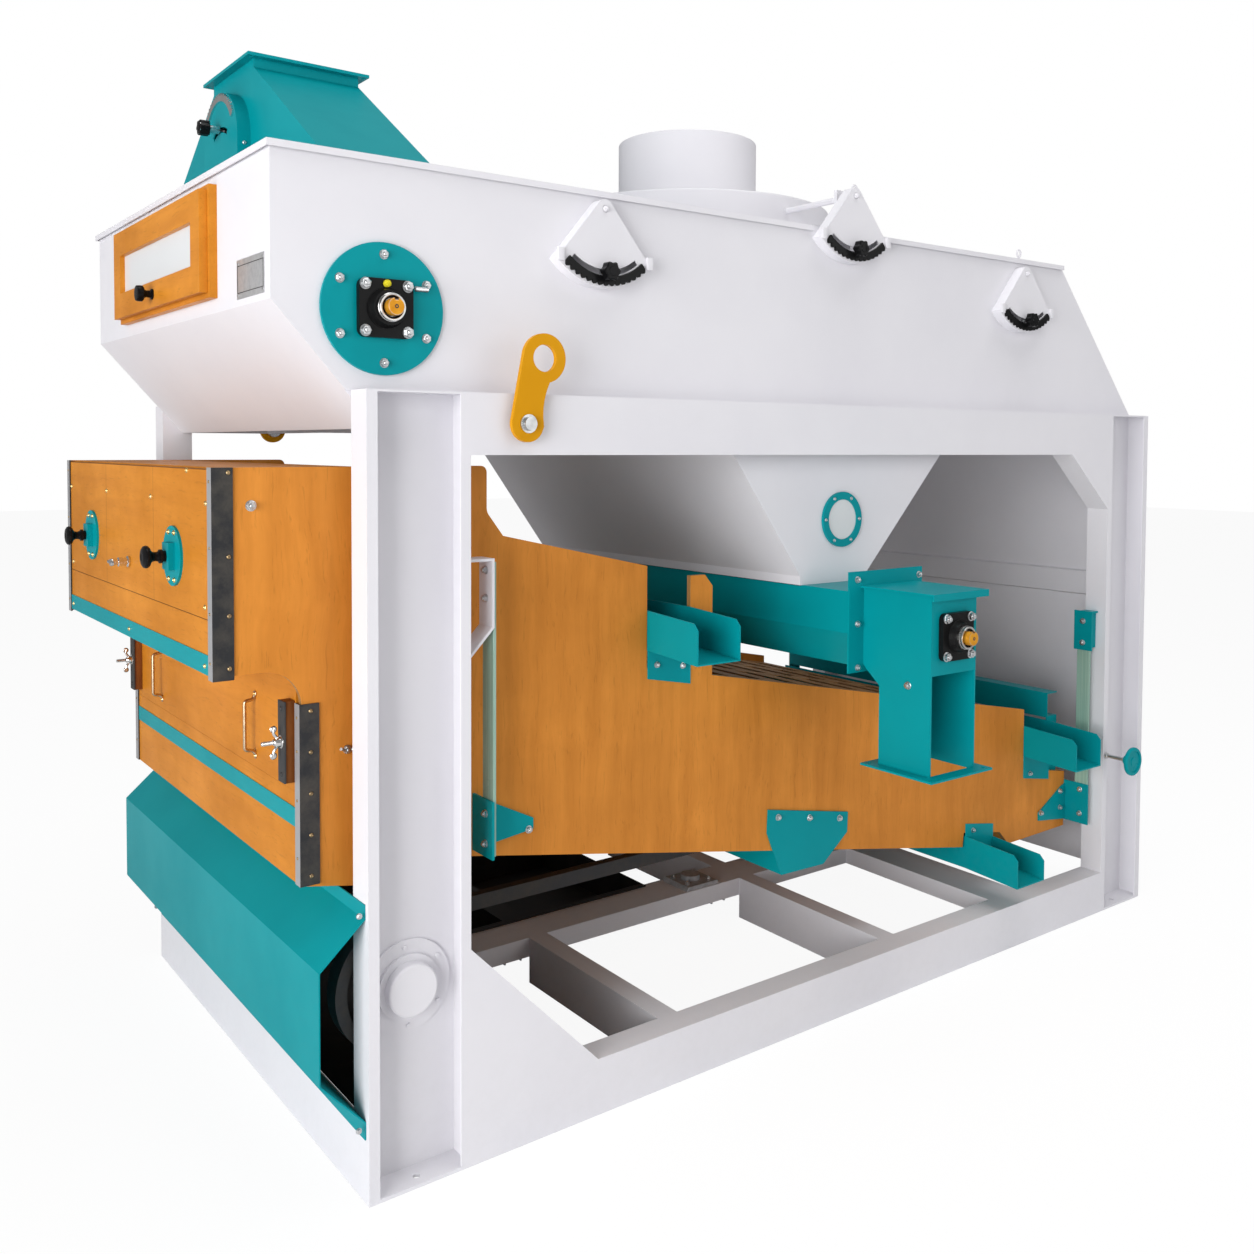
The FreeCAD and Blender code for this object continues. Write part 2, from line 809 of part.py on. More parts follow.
def settling_hopper():
    y0 = hopper_inset
    y1 = frame_width - hopper_inset
    t = casing_sheet
    z1 = frame_height + casing_sheet
    left_run = (hopper_bottom_left - hopper_top_left) / (frame_height - hopper_bottom)
    right_run = (hopper_top_right - hopper_bottom_right) / (frame_height - hopper_bottom)
    left_t = t * math.hypot(1, left_run)
    right_t = t * math.hypot(1, right_run)
    outer = prism_xz([(hopper_top_left, frame_height), (hopper_bottom_left, hopper_bottom),
                      (hopper_bottom_right, hopper_bottom), (hopper_top_right, frame_height)], y0, y1)
    inner = prism_xz([(hopper_top_left + left_t - left_run, frame_height + 1),
                      (hopper_bottom_left + left_t + left_run, hopper_bottom - 1),
                      (hopper_bottom_right - right_t - right_run, hopper_bottom - 1),
                      (hopper_top_right - right_t + right_run, frame_height + 1)], y0 + t, y1 - t)
    throat_outer = box(hopper_bottom_left, hopper_bottom_right, y0, y1, trough_top + lid_sheet,
                       hopper_bottom)
    throat_inner = box(hopper_bottom_left + left_t, hopper_bottom_right - right_t, y0 + t, y1 - t,
                       trough_top, hopper_bottom + 1)
    glass_hole = cyl_y(y0 - 1, y0 + t + 1, sight_x, sight_z, sight_inner_r)
    flange = box(hopper_top_left - hopper_flange, hopper_top_right + hopper_flange, y0 - hopper_flange,
                 frame_width - y0 + hopper_flange, frame_height - t, frame_height).cut(outer)
    hopper = joined(outer.cut(inner), throat_outer.cut(throat_inner), flange).cut(glass_hole)
    node("settling_hopper", hopper)
    ring = cyl_y(y0 - sight_ring, y0, sight_x, sight_z, sight_outer_r)
    seat = cyl_y(y0 - glass_thickness, y0, sight_x, sight_z, sight_inner_r + 6)
    window = cyl_y(y0 - sight_ring, y0, sight_x, sight_z, sight_inner_r)
    node("sight_glass_ring", ring.cut(seat).cut(window))
    node("sight_glass_pane", cyl_y(y0 - glass_thickness, y0, sight_x, sight_z, sight_inner_r + 6))


def outlet():
    drum = cyl_z(casing_top, drum_top, duct_x, middle_y, drum_r)
    drum = drum.makeFillet(6, [e for e in drum.Edges if abs(e.CenterOfMass.z - drum_top) < 1])
    drum = drum.cut(cyl_z(casing_top - 1, drum_top - duct_wall, duct_x, middle_y, drum_r - duct_wall))
    drum = drum.cut(cyl_z(casing_top, drum_top + 1, duct_x, middle_y, duct_r - duct_shoulder))
    x, z = sector_pivots["throttle"]
    hole = cyl_y(0, middle_y + duct_r + 20, x, z, valve_shaft_r + valve_clearance)
    node("outlet_drum", drum.cut(hole))
    duct = cyl_z(drum_top, duct_top, duct_x, middle_y, duct_r)
    neck = cyl_z(casing_top + 10, drum_top + 1, duct_x, middle_y, duct_r - duct_shoulder)
    duct = joined(duct, neck)
    bead = Part.makeTorus(duct_r - duct_bead, duct_bead, Vector(duct_x, middle_y, duct_top - duct_bead),
                          Vector(0, 0, 1))
    duct = duct.cut(cyl_z(duct_top - duct_bead, duct_top + 1, duct_x, middle_y, duct_r + 1))
    duct = duct.cut(cyl_z(casing_top, duct_top + 1, duct_x, middle_y, duct_r - duct_wall))
    duct = joined(duct, bead)
    node("outlet_duct", duct.cut(hole))


# Feed inlet

def loft_frame(half_x, low_half_y, high_half_y, z0, z1):
    low = Part.makePolygon([Vector(inlet_x + sx * half_x, middle_y + sy * low_half_y, z0)
                            for sx, sy in ((-1, -1), (1, -1), (1, 1), (-1, 1), (-1, -1))])
    high = Part.makePolygon([Vector(inlet_x + sx * half_x, middle_y + sy * high_half_y, z1)
                             for sx, sy in ((-1, -1), (1, -1), (1, 1), (-1, 1), (-1, -1))])
    return Part.makeLoft([low, high], True, True)


def feed_inlet():
    """Fish-tail spreader: a square neck that widens to the full width of the casing."""
    hx = inlet_neck_x / 2
    hy = inlet_neck_y / 2
    spread = inlet_spread_y / 2
    t = inlet_sheet
    body = joined(loft_frame(hx, spread, hy, casing_top, inlet_shoulder),
                  box(inlet_x - hx, inlet_x + hx, middle_y - hy, middle_y + hy, inlet_shoulder, inlet_top))
    fx = hx + inlet_flange_overhang
    fy = hy + inlet_flange_overhang
    plate = box(inlet_x - fx, inlet_x + fx, middle_y - fy, middle_y + fy, inlet_top - inlet_flange, inlet_top)
    body = joined(body, plate)
    thin = t * math.hypot(1, (spread - hy) / (inlet_shoulder - casing_top))
    body = body.cut(loft_frame(hx - t, spread - thin, hy - t, casing_top, inlet_shoulder))
    body = body.cut(box(inlet_x - hx + t, inlet_x + hx - t, middle_y - hy + t, middle_y + hy - t,
                        inlet_shoulder - 1, inlet_top + 1))
    for sx in (-1, 1):
        for sy in (-1, 1):
            body = body.cut(cyl_z(inlet_top - 2 * inlet_flange, inlet_top + 1, inlet_x + sx * (fx - 12),
                                  middle_y + sy * (fy - 12), inlet_hole_r))
    pivot = cyl_x(inlet_x - hx - 1, inlet_x + hx + 1, middle_y, quadrant_pivot, valve_shaft_r + valve_clearance)
    node("feed_inlet", body.cut(pivot))


def quadrant_plate(grow, x0, x1):
    """Arched plate: straight sides with a half-round top."""
    r = quadrant_width / 2 - grow
    arch = cyl_x(x0, x1, middle_y, quadrant_pivot + quadrant_reach, r)
    low = casing_top + grow
    sides = box(x0, x1, middle_y - r, middle_y + r, low, quadrant_pivot + quadrant_reach)
    return joined(arch, sides)


def inlet_quadrant():
    x1 = inlet_x - inlet_neck_x / 2
    x0 = x1 - quadrant_depth
    case = quadrant_plate(0, x0, x1).cut(quadrant_plate(sector_sheet, x0 + sector_sheet, x1 + 1))
    outer_r = quadrant_slot_r + sector_slot_width / 2
    inner_r = quadrant_slot_r - sector_slot_width / 2
    slot = cyl_x(x0 - 1, x0 + 2 * sector_sheet, middle_y, quadrant_pivot, outer_r)
    slot = slot.cut(cyl_x(x0 - 2, x0 + 3 * sector_sheet, middle_y, quadrant_pivot, inner_r))
    spread = outer_r * math.tan(math.radians(quadrant_half_angle))
    wedge = prism_yz([(middle_y, quadrant_pivot), (middle_y - spread, quadrant_pivot + outer_r),
                      (middle_y + spread, quadrant_pivot + outer_r)], x0 - 3, x0 + 4 * sector_sheet)
    bore = cyl_x(x0 - 1, x1 + 1, middle_y, quadrant_pivot, valve_shaft_r + valve_clearance)
    node("inlet_quadrant_box", case.cut(slot.common(wedge)).cut(bore))


def inlet_divider_flap():
    """Flap on a shaft along x that shares the grain between front and rear."""
    x_left = inlet_x - inlet_neck_x / 2
    x0 = x_left - quadrant_depth
    inner = inlet_neck_x / 2 - inlet_sheet - shaft_end_gap
    shaft = cyl_x(x0 + sector_sheet + shaft_end_gap, inlet_x + inlet_neck_x / 2 + inlet_sheet,
                  middle_y, quadrant_pivot, valve_shaft_r)
    flap = box(inlet_x - inner, inlet_x + inner, middle_y - valve_flap / 2, middle_y + valve_flap / 2,
               quadrant_pivot, quadrant_pivot + divider_height)
    knob_z = quadrant_pivot + quadrant_slot_r
    arm_x = x0 + sector_sheet + lever_gap
    arm = box(arm_x, arm_x + lever_sheet, middle_y - lever_width / 2, middle_y + lever_width / 2,
              quadrant_pivot, knob_z)
    stem = cyl_x(x0 - divider_stem, arm_x + lever_sheet / 2, middle_y, knob_z, lever_stem_r)
    grip = cyl_x(x0 - divider_stem - divider_grip, x0 - divider_stem, middle_y, knob_z, knob_r)
    collar = cyl_x(x0 - divider_stem - 1, x0 - divider_collar, middle_y, knob_z, knob_r * divider_collar_share)
    node("inlet_divider_flap", joined(shaft, flap, arm, stem, collar, grip))


# Bearing units and feed roll

def flange_bearing(x, z, face_y):
    """Square flange unit on a face that looks to the front."""
    half = bearing_square / 2
    plate = Part.makeBox(bearing_square, bearing_plate, bearing_square,
                         Vector(x - half, face_y - bearing_plate, z - half))
    corners = [e for e in plate.Edges if abs(e.Vertexes[0].Z - e.Vertexes[-1].Z) < 1e-6
               and abs(e.Vertexes[0].X - e.Vertexes[-1].X) < 1e-6]
    plate = plate.makeFillet(bearing_corner_r, corners)
    hub = Part.makeCone(bearing_hub_r + bearing_flare, bearing_hub_r, bearing_hub,
                        Vector(x, face_y - bearing_plate, z), Vector(0, -1, 0))
    unit = joined(plate, hub)
    y_tip = face_y - bearing_plate - bearing_hub
    unit = unit.cut(cyl_y(y_tip - 1, face_y + 1, x, z, drive_end_r + shaft_running))
    ring = cyl_y(y_tip - 1, y_tip + bearing_groove, x, z, bearing_hub_r - bearing_race)
    unit = unit.cut(ring.cut(cyl_y(y_tip - 2, face_y, x, z, drive_end_r + bearing_race)))
    for sx in (-1, 1):
        for sz in (-1, 1):
            bolt = cyl_y(face_y - bearing_plate - bearing_bolt_head, face_y - bearing_plate + 1,
                         x + sx * bearing_bolt_spacing / 2, z + sz * bearing_bolt_spacing / 2,
                         bearing_head_r)
            unit = unit.fuse(bolt)
    return unit


def bearing_disc_plate():
    disc = cyl_y(casing_front - bearing_disc, casing_front, roll_x, roll_z, bearing_disc_r)
    return disc.cut(cyl_y(0, casing_front + 1, roll_x, roll_z, drive_end_r + disc_bore_gap))


def bearing_units():
    front = flange_bearing(roll_x, roll_z, casing_front - bearing_disc)
    conveyor = flange_bearing(screw_x, screw_z, conveyor_front - end_plate - spout_depth)
    rear_plate_y = frame_width - (conveyor_rear + end_plate)
    conveyor_back = mirrored(flange_bearing(screw_x, screw_z, rear_plate_y))
    node("feed_bearing_discs", bearing_disc_plate(), mirrored(bearing_disc_plate()))
    node("flange_bearings", front, mirrored(front), conveyor, conveyor_back)


def keyed_stub(x, z, y0):
    """Turned-down drive end in front of the bearing, with its keyway."""
    stub = cyl_y(y0, y0 + shaft_stub, x, z, drive_stub_r)
    return stub.cut(box(x - key_width / 2, x + key_width / 2, y0, y0 + key_length,
                        z + drive_stub_r - key_depth, z + drive_stub_r + 1))


def feed_roll():
    tip = casing_front - bearing_disc - bearing_plate - bearing_hub - shaft_stub
    shaft = cyl_y(tip + shaft_stub, frame_width - tip - shaft_stub, roll_x, roll_z, drive_end_r)
    stub = keyed_stub(roll_x, roll_z, tip)
    y0 = casing_front + casing_sheet + roll_end_gap
    y1 = frame_width - y0
    drum = cyl_y(y0, y1, roll_x, roll_z, roll_r)
    for i in range(roll_ribs):
        rib = box(roll_x - rib_sheet / 2, roll_x + rib_sheet / 2, y0, y1, roll_z + roll_r - rib_root,
                  roll_z + roll_r + roll_rib)
        drum = drum.fuse(turned(rib, roll_x, roll_z, 360.0 * i / roll_ribs))
    node("feed_roll", joined(drum, shaft, stub, mirrored(stub)))


# Air valve sectors

def sector_outline(grow, y0, y1):
    """Sector with its point up: rounded apex, straight flanks, arc below."""
    a = math.radians(sector_half_angle)
    r = sector_r - grow
    apex = sector_apex_r - grow
    left_foot = Vector(-r * math.sin(a), y0, -r * math.cos(a))
    right_foot = Vector(r * math.sin(a), y0, -r * math.cos(a))
    flank = math.radians(sector_half_angle - 8)
    left_top = Vector(-apex * math.cos(flank), y0, apex * math.sin(flank))
    right_top = Vector(apex * math.cos(flank), y0, apex * math.sin(flank))
    edges = [Part.LineSegment(left_foot, left_top).toShape(),
             Part.Arc(left_top, Vector(0, y0, apex), right_top).toShape(),
             Part.LineSegment(right_top, right_foot).toShape(),
             Part.Arc(right_foot, Vector(0, y0, -r), left_foot).toShape()]
    return Part.Face(Part.Wire(edges)).extrude(Vector(0, y1 - y0, 0))


def arc_band(outer_r, inner_r, half_angle, y0, y1):
    """Band of a ring about the pivot, hanging below it."""
    a = math.radians(half_angle)
    points = []
    for r, s in ((outer_r, 1), (inner_r, -1)):
        points.append([Vector(-s * r * math.sin(a), y0, -r * math.cos(a)), Vector(0, y0, -r),
                       Vector(s * r * math.sin(a), y0, -r * math.cos(a))])
    edges = [Part.Arc(*points[0]).toShape(),
             Part.LineSegment(points[0][2], points[1][0]).toShape(),
             Part.Arc(*points[1]).toShape(),
             Part.LineSegment(points[1][2], points[0][0]).toShape()]
    return Part.Face(Part.Wire(edges)).extrude(Vector(0, y1 - y0, 0))


def sector_box(name):
    x, z = sector_pivots[name]
    y0 = casing_front - sector_depth
    y1 = casing_front
    case = sector_outline(0, y0, y1).cut(sector_outline(sector_sheet, y0 + sector_sheet, y1 + 1))
    slot = arc_band(sector_slot_r + sector_slot_width / 2, sector_slot_r - sector_slot_width / 2,
                    sector_slot_half_angle, y0 - 1, y0 + 2 * sector_sheet)
    bore = cyl_y(y0 - 1, y1 + 1, 0, 0, valve_shaft_r + valve_clearance)
    case = case.cut(slot).cut(bore)
    case.translate(Vector(x, 0, z))
    return case


def toothed_arc(name):
    """Strip with round notches that the lever pin drops into."""
    x, z = sector_pivots[name]
    y1 = casing_front - sector_depth
    y0 = y1 - rack_thickness
    band = arc_band(rack_outer_r, rack_inner_r, sector_half_angle - 3, y0, y1)
    reach = sector_half_angle - 6
    notch_r = 0.3 * rack_inner_r * math.radians(2 * reach) / rack_teeth
    for i in range(rack_teeth + 1):
        for r, shift in ((rack_inner_r, 0.0), (rack_outer_r + notch_r / 3, 0.5)):
            a = math.radians(-reach + 2 * reach * (i + shift) / rack_teeth)
            band = band.cut(cyl_y(y0 - 1, y1 + 1, -r * math.sin(a), -r * math.cos(a), notch_r))
    band.translate(Vector(x, 0, z))
    return band


def valve_lever(name):
    """Lever inside the sector box with a stem through the slot and a round knob."""
    x, z = sector_pivots[name]
    y0 = casing_front - sector_depth
    arm_y = y0 + sector_sheet + lever_gap
    z_stem = z - sector_slot_r
    arm = box(x - lever_width / 2, x + lever_width / 2, arm_y, arm_y + lever_sheet, z_stem - lever_end, z)
    stem = cyl_y(y0 - knob_stand, arm_y + lever_sheet / 2, x, z_stem, lever_stem_r)
    knob = cyl_y(y0 - knob_stand - knob_length, y0 - knob_stand, x, z_stem, knob_r)
    return joined(arm, stem, knob)


def hanging_valve(name):
    x, z = sector_pivots[name]
    y0 = casing_front - sector_depth + sector_sheet + shaft_end_gap
    shaft = cyl_y(y0, casing_rear + valve_shaft_tail, x, z, valve_shaft_r)
    flap_y0 = casing_front + casing_sheet + flap_end_gap
    flap = box(x - valve_flap / 2, x + valve_flap / 2, flap_y0, frame_width - flap_y0, z - valve_flap_height, z)
    return joined(shaft, flap, valve_lever(name))


def throttle_valve():
    x, z = sector_pivots["throttle"]
    y0 = casing_front - sector_depth + sector_sheet + shaft_end_gap
    shaft = cyl_y(y0, middle_y + duct_r + duct_shaft_tail, x, z, valve_shaft_r)
    disc_r = duct_r - duct_wall - throttle_edge_gap
    disc = cyl_z(z - valve_flap / 2, z + valve_flap / 2, x, middle_y, disc_r)
    disc = turned(disc, x, z, throttle_rest_tilt)
    return joined(shaft, disc, valve_lever("throttle"))


def air_valves():
    node("left_sector_box", sector_box("left"))
    rest = casing_top
    x, z = sector_pivots["throttle"]
    y_pillow = casing_front + pillow_setback
    pillow = box(x - pillow_half, x + pillow_half, y_pillow, y_pillow + pillow_sheet, rest, z + pillow_top)
    pillow = pillow.cut(cyl_y(0, casing_front + 2 * pillow_setback + pillow_sheet, x, z,
                              valve_shaft_r + valve_clearance))
    bar = box(x - pillow_bar, x - pillow_half, y_pillow, y_pillow + pillow_sheet, rest, rest + pillow_bar_height)
    node("throttle_sector_box", sector_box("throttle"), joined(pillow, bar))
    node("right_sector_box", sector_box("right"))
    node("toothed_arcs", *[toothed_arc(name) for name in sector_pivots])
    node("left_air_valve", hanging_valve("left"))
    node("right_air_valve", hanging_valve("right"))
    node("throttle_valve", throttle_valve())


# Screw conveyor

def trough_line():
    x = screw_x
    return [(x - trough_half, trough_top), (x - trough_half, trough_fold),
            (x - trough_bottom_half, trough_bottom), (x + trough_bottom_half, trough_bottom),
            (x + trough_half, trough_fold), (x + trough_half, trough_top)]


def screw_trough():
    body = prism_xz(folded(trough_line(), trough_sheet), conveyor_front, conveyor_rear)
    rear = box(screw_x - trough_half - end_plate_margin, screw_x + trough_half + end_plate_margin,
               conveyor_rear, conveyor_rear + end_plate, end_plate_bottom, trough_top + lid_sheet)
    rear = rear.cut(cyl_y(conveyor_rear - 1, conveyor_rear + 20, screw_x, screw_z, drive_end_r + 10))
    lid_y0 = conveyor_front
    lid = box(screw_x - trough_half, screw_x + trough_half, lid_y0, conveyor_rear,
              trough_top, trough_top + lid_sheet)
    slot = box(hopper_bottom_left + 2 * casing_sheet, hopper_bottom_right - 2 * casing_sheet,
               hopper_inset + casing_sheet, frame_width - hopper_inset - casing_sheet,
               trough_top - 1, trough_top + 10)
    node("screw_trough", joined(body, rear), lid.cut(slot))


def discharge_spout():
    """Spout box on a bolted flange; its front is open below the bearing panel."""
    y_flange = conveyor_front - end_plate
    y_front = y_flange - spout_depth
    x0 = screw_x - spout_half
    x1 = screw_x + spout_half
    t = trough_sheet
    side = [(y_flange, spout_top), (y_front, spout_top), (y_front, spout_bottom),
            (y_front + spout_lower_depth, spout_bottom), (y_front + spout_lower_depth, spout_shoulder_low),
            (y_flange, spout_shoulder)]
    inner = [(y_flange + 1, spout_top - t), (y_front + t, spout_top - t), (y_front + t, spout_bottom - 1),
             (y_front + spout_lower_depth - t, spout_bottom - 1),
             (y_front + spout_lower_depth - t, spout_shoulder_low + t / 2), (y_flange + 1, spout_shoulder + t)]
    body = prism_yz(side, x0, x1).cut(prism_yz(inner, x0 + t, x1 - t))
    mouth = box(x0 + t, x1 - t, y_front - 1, y_front + 2 * t, spout_bottom - 1, spout_front_panel_bottom)
    body = body.cut(mouth)
    shelf = box(x0, x1, y_front, y_front + 3 * t, spout_front_panel_bottom - t, spout_front_panel_bottom)
    lid_x0 = x0 - lid_left
    lid_x1 = x1 + lid_right
    lid_y0 = y_front - lid_front
    lid = box(lid_x0, lid_x1, lid_y0, y_flange, spout_top, spout_top + t)
    lip = box(lid_x0, lid_x1, lid_y0, lid_y0 + t, spout_top - lid_lip, spout_top)
    o = spout_flange_overhang
    flange = box(x0 - o, x1 + o, y_front - o, y_front + spout_lower_depth + o, spout_bottom - end_plate, spout_bottom)
    flange = flange.cut(box(x0 + t, x1 - t, y_front + t, y_front + spout_lower_depth - t,
                            spout_bottom - 20, spout_bottom + 1))
    for hx in (x0 - o / 2, x1 + o / 2):
        for hy in (y_front - o / 2, y_front + spout_lower_depth + o / 2):
            flange = flange.cut(cyl_z(spout_bottom - 20, spout_bottom + 1, hx, hy, spout_hole_r))
    m = trough_half + end_plate_margin
    plate = box(screw_x - m, screw_x + m, y_flange, conveyor_front, end_plate_bottom, end_plate_top)
    opening = prism_xz([(screw_x - spout_half + t, spout_shoulder + t), (screw_x + spout_half - t, spout_shoulder + t),
                        (screw_x + spout_half - t, trough_top - t), (screw_x - spout_half + t, trough_top - t)],
                       y_flange - 1, conveyor_front + 1)
    whole = joined(body, shelf, lid, lip, flange, plate.cut(opening))
    bore = cyl_y(y_front - 1, y_front + 2 * t, screw_x, screw_z, drive_end_r + 10)
    node("discharge_spout", whole.cut(bore))


def flight_corner(step, radius, y0):
    """Point on a helix about the screw axis, one step of a turn after another."""
    a = 2 * math.pi * step / flight_steps
    return Vector(screw_x + radius * math.sin(a), y0 + screw_pitch * step / flight_steps,
                  screw_z + radius * math.cos(a))


def triangles(corners):
    a, b, c, d = corners
    return [face_from([a, b, c]), face_from([a, c, d])]


def screw_flight_sheet(y0, turns):
    """Helical flight built face by face: front, rear, hub side and rim of every step."""
    last = turns * flight_steps
    hub_r = screw_tube_r - 1
    rows = []
    for radius, y in ((hub_r, y0), (screw_r, y0), (screw_r, y0 + screw_flight), (hub_r, y0 + screw_flight)):
        rows.append([flight_corner(step, radius, y) for step in range(last + 1)])
    faces = []
    for step in range(last):
        for row, following in zip(rows, rows[1:] + rows[:1]):
            faces.extend(triangles([row[step], following[step], following[step + 1], row[step + 1]]))
    for step in (0, last):
        faces.extend(triangles([row[step] for row in rows]))
    return Part.makeSolid(Part.makeShell(faces))


def conveyor_screw():
    y0 = conveyor_front + screw_end_gap
    y1 = conveyor_rear - 2 * screw_end_gap
    tip = conveyor_front - end_plate - spout_depth - bearing_plate - bearing_hub - shaft_stub
    shaft_end = conveyor_rear + end_plate + bearing_plate + bearing_hub
    shaft = cyl_y(tip + shaft_stub, shaft_end, screw_x, screw_z, drive_end_r)
    tube = cyl_y(y0 - 6, y1 + 6, screw_x, screw_z, screw_tube_r)
    turns = int((y1 - y0) / screw_pitch)
    flight = screw_flight_sheet(y0, turns)
    node("conveyor_screw", joined(tube, shaft, keyed_stub(screw_x, screw_z, tip)).fuse(flight))


# Window in the left end

def wooden_frame(x0, x1, margin):
    half_w = window_width / 2 + margin
    half_h = window_height / 2 + margin
    hole_w = window_width / 2 - window_band
    hole_h = window_height / 2 - window_band
    outer = box(x0, x1, window_y - half_w, window_y + half_w, window_z - half_h, window_z + half_h)
    return outer.cut(box(x0 - 1, x1 + 1, window_y - hole_w, window_y + hole_w,
                         window_z - hole_h, window_z + hole_h))


def inspection_window():
    x_wall = -casing_overhang
    node("window_surround", wooden_frame(x_wall - window_layer, x_wall, surround_margin))
    x1 = x_wall - window_layer - window_gap
    x0 = x1 - window_layer
    sash = wooden_frame(x0, x1, 0)
    hole_w = window_width / 2 - window_band + pane_lap
    hole_h = window_height / 2 - window_band + pane_lap
    rebate = box(x1 - pane_rebate, x1 + 1, window_y - hole_w, window_y + hole_w, window_z - hole_h, window_z + hole_h)
    knob_z = window_z - window_height / 2 + window_band / 2
    stem = cyl_x(x0 - window_stem, x0, window_y, knob_z, window_stem_r)
    knob = cyl_x(x0 - window_knob_reach, x0 - window_stem, window_y, knob_z, knob_r)
    node("window_sash", joined(sash.cut(rebate), stem, knob))
    node("window_pane", box(x1 - pane_rebate, x1 - pane_back, window_y - hole_w, window_y + hole_w,
                            window_z - hole_h, window_z + hole_h))


# Lifting lugs

def lifting_lug():
    """Swinging plate with a large eye above and a bolt below, waisted on one side."""
    y0 = -lug_spacer - lug_thickness
    y1 = -lug_spacer
    top = cyl_y(y0, y1, lug_eye_x, lug_eye_z, lug_top_r)
    bottom = cyl_y(y0, y1, lug_bolt_x, lug_bolt_z, lug_bottom_r)
    dx = lug_eye_x - lug_bolt_x
    dz = lug_eye_z - lug_bolt_z
    length = math.hypot(dx, dz)
    nx, nz = dz / length, -dx / length
    web = prism_xz([(lug_bolt_x - nx * lug_bottom_r, lug_bolt_z - nz * lug_bottom_r),
                    (lug_eye_x - nx * lug_top_r, lug_eye_z - nz * lug_top_r),
                    (lug_eye_x + nx * lug_top_r, lug_eye_z + nz * lug_top_r),
                    (lug_bolt_x + nx * lug_bottom_r, lug_bolt_z + nz * lug_bottom_r)], y0, y1)
    waist_r = length * lug_waist_share
    mid_x = (lug_bolt_x + lug_eye_x) / 2
    mid_z = (lug_bolt_z + lug_eye_z) / 2
    waist_off = waist_r + lug_waist_depth * lug_bottom_r
    waist = cyl_y(y0 - 1, y1 + 1, mid_x + nx * waist_off, mid_z + nz * waist_off, waist_r)
    plate = joined(top, bottom, web.cut(waist))
    plate = plate.cut(cyl_y(y0 - 1, y1 + 1, lug_eye_x, lug_eye_z, lug_eye_r))
    plate = plate.cut(cyl_y(y0 - 1, y1 + 1, lug_bolt_x, lug_bolt_z, lug_bolt_r + shaft_running))
    return plate


def lug_bolt():
    """Shoulder bolt with a washer in front of the lug and a spacer behind it."""
    y0 = -lug_spacer - lug_thickness - lug_play
    y_head = y0 - lug_washer
    bolt = cyl_y(y0, 0, lug_bolt_x, lug_bolt_z, lug_bolt_r)
    washer = cyl_y(y_head, y0, lug_bolt_x, lug_bolt_z, lug_washer_r)
    head = cyl_y(y_head - lug_head, y_head, lug_bolt_x, lug_bolt_z, lug_head_r)
    spacer = cyl_y(-lug_spacer + lug_play, 0, lug_bolt_x, lug_bolt_z, lug_spacer_r)
    return joined(bolt, washer, head, spacer)


def lifting_lugs():
    node("front_lifting_lug", lifting_lug())
    node("rear_lifting_lug", mirrored(lifting_lug()))
    node("lug_bolts", lug_bolt(), mirrored(lug_bolt()))


# Sieve boat

def deck_edge(x):
    return deck_edge_at_step - boat_slope * (x - step_x)


def keel(x):
    return bottom_at_opening - boat_bottom_slope * (x - bottom_reference_x)


def box_bottom(x):
    return box_bottom_left - boat_slope * (x - boat_box_left)


def boat_outline():
    """Side of the boat: box at the left, step down to the deck edge, tail at the right."""
    tail_end = tail_edge - tail_drop * (boat_right - tail_x)
    notch_z = keel(lower_notch_left) + lower_notch_depth
    return [(boat_left, box_shelf), (boat_left, boat_top), (notch_x, boat_top),
            (notch_x, notch_top_low + 60), (notch_corner_x, notch_top_low), (step_x, step_top),
            (step_x, deck_edge(step_x)), (tab_left, deck_edge(tab_left)), (tab_left, tab_top),
            (tab_right - 28, tab_top), (tab_right, tab_top - 32), (tab_right, deck_edge(tab_right)),
            (tail_x, deck_edge(tail_x)), (tail_x, tail_edge), (boat_right, tail_end),
            (boat_right, boat_right_bottom), (lower_notch_right + 48, boat_right_bottom - 4),
            (lower_notch_right, notch_z - notch_fall), (lower_notch_left + 5, notch_z),
            (lower_notch_left, keel(lower_notch_left)), (hidden_step_x, keel(hidden_step_x)),
            (hidden_step_x, box_bottom(hidden_step_x)), (boat_box_left, box_bottom_left),
            (boat_box_left, box_shelf)]


def rounded(shape, x, z, r):
    """Round the edge along y that stands at (x, z)."""
    edges = [e for e in shape.Edges if abs(e.CenterOfMass.x - x) < 0.5 and abs(e.CenterOfMass.z - z) < 0.5]
    return shape.makeFillet(r, edges)


def boat_side():
    side = prism_xz(boat_outline(), boat_front, inner_front)
    side = rounded(side, boat_box_left, box_shelf, box_fillet)
    side = rounded(side, notch_x, boat_top, notch_top_fillet)
    side = rounded(side, notch_x, notch_top_low + notch_rise, notch_low_fillet)
    return side


def boat_sides():
    node("boat_sides", boat_side(), mirrored(boat_side()))


def sloping_board(x0, x1, z_at, thickness):
    return prism_xz([(x0, z_at(x0)), (x1, z_at(x1)), (x1, z_at(x1) + thickness), (x0, z_at(x0) + thickness)],
                    inner_front, inner_rear)


def upper_deck(x):
    return upper_deck_at_step - boat_slope * (x - step_x)


def lower_deck(x):
    return lower_deck_at_tail - boat_slope * (x - tail_x)


